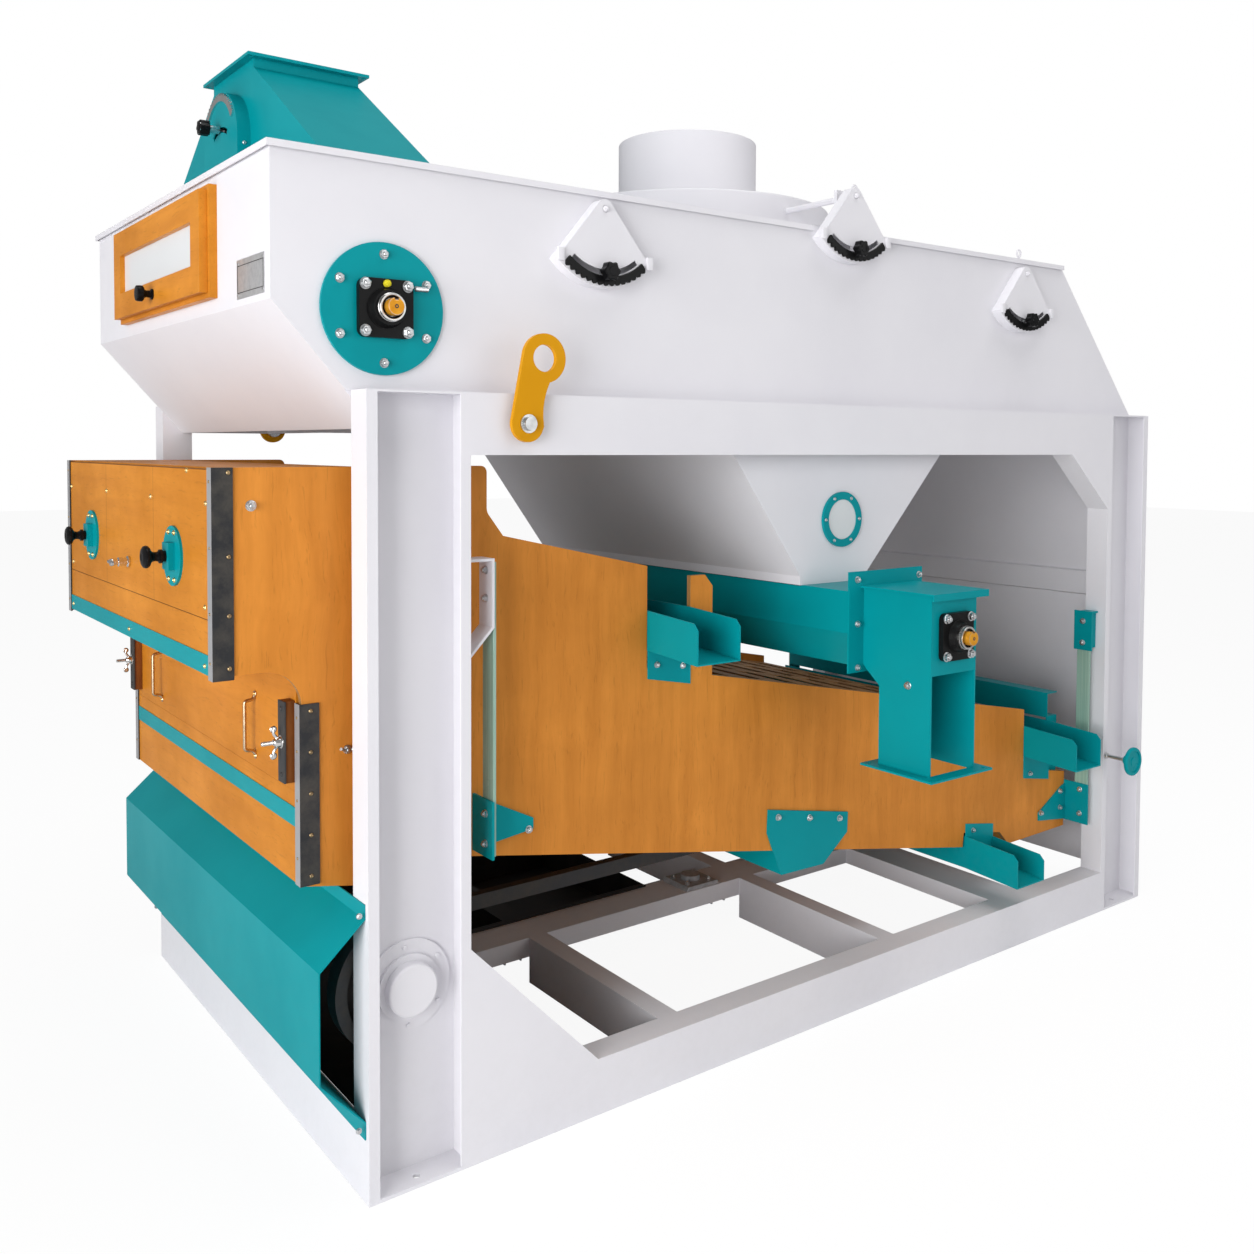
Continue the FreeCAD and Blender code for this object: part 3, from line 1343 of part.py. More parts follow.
def boat_floor():
    """Floor boards, end boards and the boards round the two left-end openings."""
    left_floor = sloping_board(hidden_step_x, lower_notch_left, keel, boat_ply)
    lower_face = boat_box_left - door_proud + boat_ply
    upper_face = boat_left - door_proud + boat_ply
    step_low = box_bottom(hidden_step_x)
    box_floor = prism_xz([(lower_face, box_bottom(lower_face)), (hidden_step_x, step_low),
                          (hidden_step_x, step_low + boat_ply), (lower_face, box_bottom(lower_face) + boat_ply)],
                         inner_front, inner_rear)
    riser = box(hidden_step_x, hidden_step_x + boat_ply, inner_front, inner_rear, step_low, keel(hidden_step_x))
    notch_z = keel(lower_notch_left) + lower_notch_depth
    tail_line = [(lower_notch_right, notch_z - notch_fall), (lower_notch_right + 48, boat_right_bottom),
                 (boat_right - boat_ply, boat_right_bottom)]
    right_floor = prism_xz(folded(tail_line, boat_ply), inner_front, inner_rear)
    end = box(boat_right - boat_ply, boat_right, inner_front, inner_rear,
              boat_right_bottom, tail_edge - tail_drop * (boat_right - tail_x))
    box_top = box(upper_face, mouth_left - 25, inner_front, inner_rear, boat_top - boat_ply, boat_top)
    shelf = box(upper_face, lower_face, inner_front, inner_rear, box_shelf, box_shelf + boat_ply)
    upper_front = box(boat_left - door_proud, upper_face, inner_front, inner_rear, box_shelf,
                      upper_door_bottom - door_gap)
    lower_front = box(boat_box_left - door_proud, lower_face, inner_front, inner_rear,
                      box_bottom_left, lower_door_bottom - door_gap)
    node("boat_floor", joined(left_floor, riser, box_floor), lower_front, joined(right_floor, end),
         box_top, shelf, upper_front)


def sieve_deck(x0, x1, z_at, rows):
    """Wooden sieve frame with a slotted screen plate on it."""
    gap = 1.0
    columns = 4
    y0 = inner_front + gap
    y1 = inner_rear - gap
    band = sieve_frame_band
    top = sieve_frame_height
    frame = prism_xz([(x0, z_at(x0)), (x1, z_at(x1)), (x1, z_at(x1) + top), (x0, z_at(x0) + top)], y0, y1)
    under = top - sieve_plate
    hollow = prism_xz([(x0 + band, z_at(x0 + band) - 1), (x1 - band, z_at(x1 - band) - 1),
                       (x1 - band, z_at(x1 - band) + under), (x0 + band, z_at(x0 + band) + under)],
                      y0 + band, y1 - band)
    frame = frame.cut(hollow)
    pitch = (x1 - x0 - 2 * band) / rows
    width = (y1 - y0 - 2 * band) / columns
    for i in range(rows):
        for j in range(columns):
            sx = x0 + band + (i + 0.3) * pitch
            sy = y0 + band + (j + 0.08) * width
            slot = box(sx, sx + slot_share_x * pitch, sy, sy + slot_share_y * width, z_at(sx) - top, z_at(sx) + 2 * top)
            frame = frame.cut(slot)
    return frame


def runner(x0, x1, z_at, y0):
    """Batten on the boat side that carries the edge of a sieve frame."""
    z0 = z_at(x0)
    z1 = z_at(x1)
    return prism_xz([(x0, z0 - runner_height), (x1, z1 - runner_height), (x1, z1), (x0, z0)], y0, y0 + runner_width)


def sieve_decks():
    upper_span = (upper_deck_left, step_x - 20, upper_deck)
    lower_span = (boat_box_left + boat_ply + 4, tail_x - 8, lower_deck)
    runners = []
    for span in (upper_span, lower_span):
        runners += [runner(*span, inner_front), runner(*span, inner_rear - runner_width)]
    node("sieve_decks", sieve_deck(*upper_span, 8), sieve_deck(*lower_span, 16), *runners)


def chute(x, z, plate_points, right_height):
    """Open channel across the boat, falling to the front, with its corners cut off."""
    t = chute_sheet
    y0 = boat_front - chute_reach
    line = [(x, z + chute_height), (x, z), (x + chute_width, z), (x + chute_width, z + right_height)]
    outline = folded(line, t)
    channel = prism_xz(outline, y0, boat_front)
    for x_mid, top in ((x, z + chute_height), (x + chute_width, z + right_height)):
        cutter = prism_yz([(y0 - 1, top + 1), (y0 + chute_corner, top + 1), (y0 - 1, top - chute_corner)],
                          x_mid - 2 * t, x_mid + 2 * t)
        channel = channel.cut(cutter)
    matrix = FreeCAD.Matrix()
    matrix.A32 = chute_fall
    matrix.A34 = -chute_fall * boat_front
    channel = channel.transformGeometry(matrix)
    plate = prism_xz(plate_points, boat_front - t, boat_front)
    return joined(channel, prism_xz(outline, boat_front, boat_rear), plate, mirrored(plate))


def cross_chutes():
    x, z = upper_chute_x, upper_chute_z
    x1 = x + chute_width
    upper = chute(x, z, [(x, z + chute_plate_drop), (x, deck_edge(x) - chute_plate),
                         (x1, deck_edge(x1) - chute_plate), (x1, z + chute_plate_drop)], chute_height)
    x, z = right_chute_x, right_chute_z
    x1 = x + chute_width
    right = chute(x, z, [(x, z + chute_plate_drop), (x, tail_edge - chute_plate),
                         (x1, tail_edge - chute_plate - tail_drop * chute_width), (x1, z + chute_plate_drop)],
                  chute_height)
    x, z = lower_chute_x, lower_chute_z
    notch_z = keel(lower_notch_left) + lower_notch_depth
    drop = notch_fall * chute_width / (lower_notch_right - lower_notch_left)
    x1 = x + chute_width
    z_plate = z + lower_chute_drop
    lower = chute(x, z, [(x, z_plate), (x, notch_z + chute_plate), (x1, notch_z + chute_plate - drop), (x1, z_plate)],
                  chute_height - drop)
    node("cross_chutes", upper, right, lower)


def tail_rail():
    x0 = right_chute_x + chute_width + tail_rail_gap
    x1 = x0 + tail_rail_width
    t = chute_sheet
    z0 = tail_rail_bottom
    z1 = tail_rail_bottom + tail_rail_height
    rail = box(x0, x1, inner_front, inner_rear, z0, z1)
    rail = rail.cut(box(x0 + t, x1 + 1, inner_front - 1, inner_rear + 1, z0 + t, z1 - t))
    bracket = box(x0, x1, inner_front, inner_front + t, tail_edge - tail_bracket_drop, z0 + t)
    return joined(rail, bracket, mirrored(bracket))


def drive_brackets():
    """Bracket plates on the boat sides with the drive beam between them."""
    plate = prism_xz(list(bracket_points), boat_front - bracket_plate, boat_front)
    x1 = beam_x + beam_depth
    z0 = bracket_points[4][1]
    z1 = keel(x1)
    beam = box(beam_x, x1, boat_front - bracket_plate, boat_rear + bracket_plate, z0, z1)
    beam = beam.cut(box(beam_x + beam_sheet, x1 + 1, boat_front, boat_rear, z0 + beam_sheet, z1 - beam_sheet))
    node("drive_brackets", joined(plate, mirrored(plate), beam))


# Left end of the boat

def corner_angle(x_front, z0, z1):
    """Angle over the corner: a long leg on the side, a short leg on the front."""
    x_face = x_front - door_proud
    side = box(x_face, x_face + angle_leg, boat_front - angle_sheet, boat_front, z0, z1)
    front = box(x_face - angle_sheet, x_face, boat_front - angle_sheet, boat_front + angle_front_leg, z0, z1)
    return joined(side, front)


def corner_angles():
    upper = corner_angle(boat_left, box_shelf - upper_angle_drop, boat_top)
    lower = corner_angle(boat_box_left, box_bottom_left, lower_door_top - lower_angle_drop)
    node("corner_angles", upper, mirrored(upper), lower, mirrored(lower))


def end_strips():
    y0 = boat_front + angle_front_leg
    y1 = frame_width - y0
    x = boat_left - door_proud
    upper = box(x - strip_thickness, x, y0, y1, box_shelf, box_shelf + strip_height)
    x = boat_box_left - door_proud
    lower = box(x - strip_thickness, x, y0, y1, lower_strip_bottom, lower_strip_bottom + strip_height)
    return upper, lower


def upper_door():
    x = boat_left - door_proud
    y0 = boat_front + door_side_gap
    y1 = frame_width - y0
    panel = box(x, x + boat_ply, y0, y1, upper_door_bottom, upper_door_top)
    boss_bores = []
    discs = []
    for y in disc_stations:
        disc = cyl_x(x - disc_plate, x, y, disc_z, disc_r)
        half = disc_boss / 2
        boss = box(x - disc_plate - disc_boss_depth, x - disc_plate, y - half * disc_boss_share,
                   y + half * disc_boss_share, disc_z - half, disc_z + half)
        bore = cyl_x(x - spindle_reach, x + boat_ply + 1, y, disc_z, spindle_r + valve_clearance)
        boss_bores.append(bore)
        discs.append(joined(disc, boss).cut(bore))
    for bore in boss_bores:
        panel = panel.cut(bore)
    latch_bore = cyl_x(x - spindle_reach, x + boat_ply + 1, latch_y, latch_z, spindle_r + valve_clearance)
    node("upper_door", panel.cut(latch_bore))
    node("clamp_discs", *discs)
    x_boss = x - disc_plate - disc_boss_depth - door_gap
    for name, y in zip(("front_clamp_knob", "rear_clamp_knob"), disc_stations):
        spindle = cyl_x(x_boss, x + boat_ply, y, disc_z, spindle_r)
        stem = cyl_x(x_boss - clamp_stem, x_boss, y, disc_z, clamp_stem_r)
        head = cyl_x(x_boss - clamp_stem - clamp_head, x_boss - clamp_stem, y, disc_z, clamp_knob_r)
        node(name, joined(spindle, stem, head))
    barrel = cyl_x(x - door_gap - latch_length, x - door_gap, latch_y, latch_z, latch_r)
    spindle = cyl_x(x - door_gap, x + boat_ply, latch_y, latch_z, spindle_r)
    x_thumb = x - latch_length - thumb_proud
    thumb = box(x_thumb, x_thumb + thumb_depth, latch_y - thumb_half, latch_y + thumb_half,
                latch_z - thumb_sheet / 2, latch_z + thumb_sheet / 2)
    node("door_latch", joined(barrel, spindle, thumb))


def pull_handle(y):
    """Bent wire pull: two feet and a grip."""
    x = boat_box_left - door_proud
    half = handle_height / 2
    grip = cyl_z(handle_z - half, handle_z + half, x - handle_reach, y, handle_wire_r)
    arms = []
    for s in (-1, 1):
        arms.append(cyl_x(x - handle_reach, x, y, handle_z + s * half, handle_wire_r))
        arms.append(Part.makeSphere(handle_wire_r, Vector(x - handle_reach, y, handle_z + s * half)))
    return joined(grip, *arms)


def clamp_bar(y):
    """Wooden batten with a steel strip, held by a wing nut on a stud."""
    x = boat_box_left - door_proud
    half = bar_height / 2
    wood = box(x - bar_wood, x, y - bar_width / 2, y + bar_width / 2, bar_z - half, bar_z + half)
    steel = box(x - bar_wood - bar_steel, x - bar_wood, y - bar_width / 2, y + bar_width / 2,
                bar_z - half, bar_z + half)
    x_nut = x - bar_wood - bar_steel
    stud = cyl_x(x_nut - wing_stud, x_nut, y, bar_z, wing_stud_r)
    nut = cyl_x(x_nut - wing_hub, x_nut, y, bar_z, wing_hub_r)
    wings = box(x_nut - wing_high, x_nut - wing_low, y - wing_sheet / 2, y + wing_sheet / 2,
                bar_z - wing_half, bar_z + wing_half)
    return wood, joined(steel, stud, nut, wings)


def lower_door():
    x = boat_box_left - door_proud
    y0 = boat_front + door_side_gap
    y1 = frame_width - y0
    node("lower_door", box(x, x + boat_ply, y0, y1, lower_door_bottom, lower_door_top))
    node("door_handles", *[pull_handle(y) for y in handle_stations])
    pieces = []
    for y in bar_stations:
        pieces.extend(clamp_bar(y))
    node("clamp_bars", *pieces)


# Suspension

def leaf(x, z0, z1):
    return box(x, x + leaf_thickness, leaf_front, leaf_front + leaf_width, z0, z1)


def leaf_springs():
    left = leaf(left_leaf_x, left_leaf_bottom, left_leaf_top)
    right = leaf(right_leaf_x, right_leaf_bottom, right_leaf_top)
    node("leaf_springs", left, right, mirrored(left), mirrored(right))


def left_hanger(post_face):
    """Folded strip from the post to the leaf spring and back."""
    x = left_leaf_x
    line = [(post_face, left_hanger_foot), (x, left_hanger_fold), (x, left_hanger_top), (post_face, left_hanger_top)]
    strip = prism_xz(folded(line, hanger_sheet), leaf_front - leaf_margin, leaf_front + leaf_width + leaf_margin)
    return strip.cut(box(0, post_face, 0, frame_width, 0, frame_height))


def right_clamp_plate():
    return box(right_leaf_x - hanger_sheet, right_leaf_x, leaf_front - clamp_margin,
               leaf_front + leaf_width + clamp_margin,
               right_hanger_bottom, right_leaf_top + hanger_sheet)


def right_hanger():
    """Block on the post and clamp plate on the leaf spring."""
    y0 = leaf_front - clamp_margin
    post_face = frame_length - post_width
    block = box(right_leaf_x + leaf_thickness, post_face, y0 + clamp_setback, post_depth,
                right_hanger_bottom + clamp_margin, right_leaf_top)
    cap = box(right_leaf_x - hanger_sheet, post_face, y0, post_depth, right_leaf_top,
              right_leaf_top + hanger_sheet)
    return joined(block, right_clamp_plate(), cap)


def right_rear_hanger():
    """Folded strip that reaches from the narrow rear post to the leaf spring."""
    x = right_leaf_x + leaf_thickness
    post_face = frame_length - rear_post_width
    line = [(post_face, right_leaf_top), (x, right_leaf_top), (x, right_hanger_bottom),
            (post_face, right_hanger_bottom - hanger_brace_drop)]
    strip = prism_xz(folded(line, hanger_sheet), leaf_front - leaf_margin, leaf_front + leaf_width + leaf_margin)
    cap = box(right_leaf_x - hanger_sheet, x + hanger_cap_tail, leaf_front - leaf_margin,
              leaf_front + leaf_width + leaf_margin, right_leaf_top, right_leaf_top + hanger_sheet)
    post = box(post_face, frame_length, 0, frame_width, 0, frame_height)
    return mirrored(joined(strip, right_clamp_plate(), cap).cut(post))


def hangers():
    left = left_hanger(post_width)
    rear_left = left_hanger(rear_post_width)
    node("left_spring_hangers", left, mirrored(rear_left))
    node("right_spring_hangers", right_hanger(), right_rear_hanger())


def spring_foot(x, z0, z1, reach, side):
    """Plate behind the leaf spring with a triangular gusset on the boat side."""
    plate = box(x - hanger_sheet, x, leaf_front - leaf_margin, boat_front, z0, z1)
    tip_z = z0 + (z1 - z0) * foot_tip_share
    heel = x - hanger_sheet if side > 0 else x
    gusset = [(heel, z0 + foot_edge), (heel, z1 - foot_top_edge),
              (x + side * foot_crown, z1 - foot_crown_drop), (x + side * reach, tip_z + foot_tip_rise),
              (x + side * reach, tip_z - foot_edge), (x + side * foot_toe, z0 + foot_edge)]
    return joined(plate, prism_xz(gusset, boat_front - hanger_sheet, boat_front))


def spring_feet():
    left = spring_foot(left_leaf_x, left_leaf_bottom - leaf_margin, left_foot_top, foot_gusset, 1)
    right = spring_foot(right_leaf_x, right_leaf_bottom - leaf_margin, right_foot_top, foot_gusset, -1)
    node("spring_feet", left, right, mirrored(left), mirrored(right))


# Drive

def bearing_cover():
    """Round cover with a raised cap; the shaft end runs in its hub."""
    y_web = post_depth - frame_sheet
    y_plate = y_web - cover_plate
    y_cap = y_plate - cover_cap
    disc = cyl_y(y_plate, y_web, drive_x, drive_z, cover_r)
    ring = cyl_y(y_plate - cover_ring, y_plate, drive_x, drive_z, cover_ring_r)
    cap = cyl_y(y_cap, y_plate, drive_x, drive_z, cover_cap_r)
    rim = [e for e in cap.Edges if abs(e.CenterOfMass.y - y_cap) < 0.1 and e.Length > 2 * cover_cap_r]
    cap = cap.makeFillet(cover_fillet, rim)
    hub = cyl_y(y_web, post_depth + cover_hub_reach, drive_x, drive_z, cover_cap_r)
    bore = cyl_y(y_cap + cover_wall, post_depth + cover_hub_reach + 1, drive_x, drive_z,
                 drive_shaft_r + shaft_running)
    return joined(disc, ring, cap, hub).cut(bore)


def flywheel(y0):
    y1 = y0 + flywheel_width
    inner_r = flywheel_r - flywheel_rim
    rim = cyl_y(y0, y1, drive_x, drive_z, flywheel_r).cut(cyl_y(y0 - 1, y1 + 1, drive_x, drive_z, inner_r))
    web = cyl_y(y0 + wheel_web_inset, y1 - wheel_web_inset, drive_x, drive_z, inner_r + 1)
    hub = cyl_y(y0, y1, drive_x, drive_z, wheel_hub_r)
    wheel = joined(rim, web, hub)
    for i in range(wheel_holes):
        a = 2 * math.pi * i / wheel_holes
        x = drive_x + wheel_hole_ring * math.sin(a)
        z = drive_z + wheel_hole_ring * math.cos(a)
        wheel = wheel.cut(cyl_y(y0, y1, x, z, wheel_hole_r))
    return wheel


def eccentric_shaft():
    end = post_depth - frame_sheet - cover_plate - cover_cap + shaft_end_depth
    shaft = cyl_y(end, frame_width - end, drive_x, drive_z, drive_shaft_r)
    y_wheel = post_depth + flywheel_gap
    pieces = [flywheel(y_wheel), mirrored(flywheel(y_wheel))]
    for y in rod_stations:
        half = rod_width / 2 + collar_reach
        pieces.append(cyl_y(y - half, y + half, drive_x, drive_z - eccentricity, collar_r))
    node("eccentric_shaft", joined(shaft, *pieces))


def connecting_rod(y):
    """Rod from the drive beam to a square yoke that clears the whole swing of the eccentric collar."""
    inner = collar_r + 2 * eccentricity + rod_clearance
    outer = inner + rod_yoke
    y0 = y - rod_width / 2
    y1 = y + rod_width / 2
    yoke = box(drive_x - outer, drive_x + outer, y0, y1, drive_z - outer, drive_z + outer)
    opening = box(drive_x - inner, drive_x + inner, y0 - 1, y1 + 1, drive_z - inner, drive_z + inner)
    bar = box(drive_x + inner, beam_x, y0 + rod_shoulder, y1 - rod_shoulder,
              drive_z - rod_height / 2, drive_z + rod_height / 2)
    return joined(yoke, bar).cut(opening)


def connecting_rods():
    node("connecting_rods", *[connecting_rod(y) for y in rod_stations])


def drive_hood():
    """Folded guard over the drive, open at both ends."""
    z = hood_levels
    line = [(0, z[5]), (0, z[4]), (hood_face, z[3]), (hood_face, z[2]), (0, z[1]), (0, z[0])]
    hood = prism_xz(folded(line, hood_sheet), hood_inset, frame_width - hood_inset)
    node("drive_hood", hood)


def handwheel():
    """Round disc wheel with a hub on a plain rod that turns in the post lip."""
    y0 = -wheel_rod_length
    y_back = frame_sheet + wheel_play
    rim = cyl_y(y0, y0 + wheel_rim_depth, wheel_x, wheel_z, wheel_r)
    rim = rim.makeFillet(wheel_rim_fillet, [e for e in rim.Edges if e.Length > 2 * wheel_r])
    dish = cyl_y(y0 - 1, y0 + wheel_dish, wheel_x, wheel_z, wheel_r - wheel_rim_band)
    hub = cyl_y(y0 + wheel_back, y0 + wheel_boss, wheel_x, wheel_z, wheel_boss_r)
    rod = cyl_y(y0 + wheel_back, frame_sheet + wheel_rod_tail, wheel_x, wheel_z, wheel_rod_r)
    front_collar = cyl_y(-wheel_play - wheel_collar, -wheel_play, wheel_x, wheel_z, wheel_collar_r)
    rear_collar = cyl_y(y_back, y_back + wheel_collar, wheel_x, wheel_z, wheel_collar_r)
    node("handwheel", joined(rim.cut(dish), hub, rod, front_collar, rear_collar))


def build():
    front_posts()
    rear_posts()
    frame_beams()
    floor_rails()
    rail_casting()
    end_panels()
    fines_tray()
    upper_casing()
    casing_lid()
    settling_hopper()
    outlet()
    feed_inlet()
    inlet_quadrant()
    inlet_divider_flap()
    bearing_units()
    feed_roll()
    air_valves()
    screw_trough()
    discharge_spout()
    conveyor_screw()
    inspection_window()
    lifting_lugs()
    boat_sides()
    boat_floor()
    sieve_decks()
    cross_chutes()
    drive_brackets()
    corner_angles()
    node("boat_strips", tail_rail(), *end_strips())
    upper_door()
    lower_door()
    leaf_springs()
    hangers()
    spring_feet()
    eccentric_shaft()
    connecting_rods()
    drive_hood()
    handwheel()
    node("shaft_bearing_covers", bearing_cover(), mirrored(bearing_cover()))


def save():
    shift = Vector(-frame_length / 2, -frame_width / 2, 0)
    for name, shape in nodes.items():
        shape.translate(shift)
        shape.exportStep(os.path.join("parts", name + ".step"))
    print(len(nodes), "nodes")


build()
save()
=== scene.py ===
# %% [markdown]
# # Grain pre-cleaner
# The machine cleans grain: a plywood sieve boat shakes inside a white sheet-metal frame, air draws off the
# dust through the round duct on top, and a screw carries the settled dust out of a teal spout.
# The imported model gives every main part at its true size. It could be dressed with new meshes all over,
# but its sheets already have the right shape, so they stay and get better finishes, and this script adds
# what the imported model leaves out: bolts, screws, knobs, handles and small fittings.

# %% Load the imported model
import math
import bmesh
import bpy
from mathutils import Matrix, Vector


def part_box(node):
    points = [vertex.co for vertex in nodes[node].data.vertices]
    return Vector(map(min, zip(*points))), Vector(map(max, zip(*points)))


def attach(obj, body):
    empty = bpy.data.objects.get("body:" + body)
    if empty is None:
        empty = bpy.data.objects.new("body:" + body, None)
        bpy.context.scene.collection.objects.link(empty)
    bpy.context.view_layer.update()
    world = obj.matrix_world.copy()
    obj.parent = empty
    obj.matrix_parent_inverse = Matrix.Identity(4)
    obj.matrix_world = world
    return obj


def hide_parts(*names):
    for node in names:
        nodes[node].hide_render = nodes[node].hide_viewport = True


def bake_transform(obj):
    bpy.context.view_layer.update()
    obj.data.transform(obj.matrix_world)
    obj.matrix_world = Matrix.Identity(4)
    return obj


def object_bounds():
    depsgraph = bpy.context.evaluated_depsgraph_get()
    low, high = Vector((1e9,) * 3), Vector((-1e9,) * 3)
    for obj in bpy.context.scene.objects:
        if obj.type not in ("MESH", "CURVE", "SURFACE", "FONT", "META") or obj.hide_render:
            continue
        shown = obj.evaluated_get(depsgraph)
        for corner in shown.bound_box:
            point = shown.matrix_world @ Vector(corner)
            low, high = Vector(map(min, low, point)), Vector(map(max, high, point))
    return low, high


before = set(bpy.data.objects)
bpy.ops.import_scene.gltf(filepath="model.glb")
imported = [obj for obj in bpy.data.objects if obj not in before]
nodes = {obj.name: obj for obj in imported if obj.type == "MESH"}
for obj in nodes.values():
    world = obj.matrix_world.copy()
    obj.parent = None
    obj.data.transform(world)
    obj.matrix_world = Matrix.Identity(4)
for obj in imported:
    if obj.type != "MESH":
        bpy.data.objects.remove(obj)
bounds_at_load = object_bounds()

# %% [markdown]
# A maker measures such a machine from one corner of its frame, in millimetres. All places below are
# written that way: x from the left end, y from the front face to the back, z from the floor.
# One function turns them into Blender's metres, so that each place can be checked with a tape measure.

# %% Places in millimetres
MM = 0.001
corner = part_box("front_posts")[0]
machine_width = 1612.0


def at(x, y, z):
    return Vector((corner.x + x * MM, corner.y + y * MM, z * MM))


def rear(y):
    """The same distance from the rear face."""
    return machine_width - y


print("corner of the frame:", [round(v, 3) for v in corner])

# %% [markdown]
# The camera stands in front of the left end, at eye height, about two and a half metres off the front
# left post, with a moderate wide lens. It looks almost level, so the posts stay nearly upright. The
# picture shows more below the horizon than above it, which a lens shift gives without tilting anything.

# %% Camera
def new_object(name, data):
    made = bpy.data.objects.new(name, data)
    bpy.context.scene.collection.objects.link(made)
    return made


camera_data = bpy.data.cameras.new("camera")
camera_data.sensor_width = 36.0
camera_data.lens = 34.206
camera_data.shift_y = -0.10706
camera = new_object("camera", camera_data)
eye = Vector((-2.631, -3.195, 1.677))
looking = Vector((0.5969, 0.8014, -0.0384)).normalized()
upward = Vector((0.0194, 0.0335, 0.9993))
sideways = looking.cross(upward).normalized()
upward = sideways.cross(looking)
turn = Matrix((sideways, upward, -looking)).transposed()
camera.matrix_world = Matrix.Translation(eye) @ turn.to_4x4()
bpy.context.scene.camera = camera
print("camera height:", round(camera.location.z, 3))

# %% [markdown]
# Light, floor and finishes are all made of shader nodes. Setting and linking every socket by hand takes
# many lines and hides the recipe, so one function does both: a socket is linked, a plain value is set.
# Noise, ramps, sums and colour blends come back all the time, so each gets a short function. A node group
# gives out only masks and heights, and the shader that uses them stays in the material.


# %% Helpers for nodes
def feed(tree, socket, value):
    """Link a socket to another one, or give it a plain value."""
    if isinstance(value, bpy.types.NodeSocket):
        tree.links.new(value, socket)
    else:
        socket.default_value = (*value, 1.0) if socket.type == "RGBA" else value


def add_node(tree, kind, inputs=None, operation=None):
    node = tree.nodes.new("ShaderNode" + kind)
    if operation:
        node.operation = operation
    for label, value in (inputs or {}).items():
        feed(tree, node.inputs[label], value)
    return node


def noise(tree, vector, scale, detail=3.0, roughness=0.5, output="Fac"):
    inputs = {"Vector": vector, "Scale": scale, "Detail": detail, "Roughness": roughness}
    return add_node(tree, "TexNoise", inputs).outputs[output]


def ramp(tree, value, low, high, to_low=0.0, to_high=1.0):
    inputs = {"Value": value, "From Min": low, "From Max": high, "To Min": to_low, "To Max": to_high}
    return add_node(tree, "MapRange", inputs).outputs["Result"]


def maths(tree, operation, first, second=0.0):
    return add_node(tree, "Math", {0: first, 1: second}, operation).outputs[0]


def coordinate(tree, axis, source="Object"):
    """One coordinate of a point, or of the direction in which its surface looks."""
    point = add_node(tree, "TexCoord").outputs[source]
    return add_node(tree, "SeparateXYZ", {"Vector": point}).outputs[axis]


def blend_colours(tree, mask, first, second):
    node = tree.nodes.new("ShaderNodeMix")
    node.data_type = "RGBA"
    for index, value in ((0, mask), (6, first), (7, second)):
        feed(tree, node.inputs[index], value)
    return node.outputs[2]


def new_group(name, inputs):
    """A node group and its inputs. A tuple makes a vector input, a number a plain one."""
    group = bpy.data.node_groups.new(name, "ShaderNodeTree")
    for label, value in inputs.items():
        kind = "NodeSocketVector" if isinstance(value, tuple) else "NodeSocketFloat"
        group.interface.new_socket(label, in_out="INPUT", socket_type=kind).default_value = value
    return group, group.nodes.new("NodeGroupInput").outputs


def give_out(group, **results):
    """Make the outputs of a group and link them."""
    for label in results:
        group.interface.new_socket(label, in_out="OUTPUT", socket_type="NodeSocketFloat")
    leave = group.nodes.new("NodeGroupOutput")
    for label, result in results.items():
        group.links.new(result, leave.inputs[label])
    print("group:", group.name)


print("node helpers ready")

# %% [markdown]
# Soft studio light: a large lamp on the left makes the left faces the brightest, a weaker one in front
# opens up the front, and one overhead marks the tops. An even world fills in the rest. Small lamps would
# give hard shadows, which a product studio avoids. The camera sees plain white all round, also through
# glass, while the surfaces mirror only the dimmer fill, so that the colours keep their depth.

# %% Lamps and world
middle = (bounds_at_load[0] + bounds_at_load[1]) / 2


def soft_lamp(name, place, width, height, power):
    data = bpy.data.lights.new(name, "AREA")
    data.shape = "RECTANGLE"
    data.size, data.size_y, data.energy = width, height, power
    lamp = new_object(name, data)
    lamp.location = place
    lamp.rotation_euler = (middle - Vector(place)).to_track_quat("-Z", "Y").to_euler()


soft_lamp("lamp_left", (-7.5, -3.6, 1.9), 5.0, 4.0, 470)
soft_lamp("lamp_front", (3.5, -7.5, 3.2), 6.0, 4.5, 105)
soft_lamp("lamp_top", (0.5, -1.5, 7.5), 5.0, 5.0, 215)

world = bpy.data.worlds.new("studio")
bpy.context.scene.world = world
world.use_nodes = True
tree = world.node_tree
tree.nodes.clear()
rays = add_node(tree, "LightPath").outputs
seen = maths(tree, "MAXIMUM", rays["Is Camera Ray"], rays["Is Transmission Ray"])
fill_light = add_node(tree, "Background", {"Color": (1, 1, 1), "Strength": 0.30})
white_room = add_node(tree, "Background", {"Color": (1, 1, 1), "Strength": 1.0})
choose = add_node(tree, "MixShader", {"Fac": seen, 1: fill_light.outputs[0], 2: white_room.outputs[0]})
add_node(tree, "OutputWorld", {"Surface": choose.outputs[0]})
bpy.context.scene.view_settings.view_transform = "Standard"

# %% [markdown]
# The floor is a wide pale sheet under the feet. Seen by the camera it is partly its own white, so that
# it meets the white background without a line, and partly a lit surface, so that it keeps the shadow.

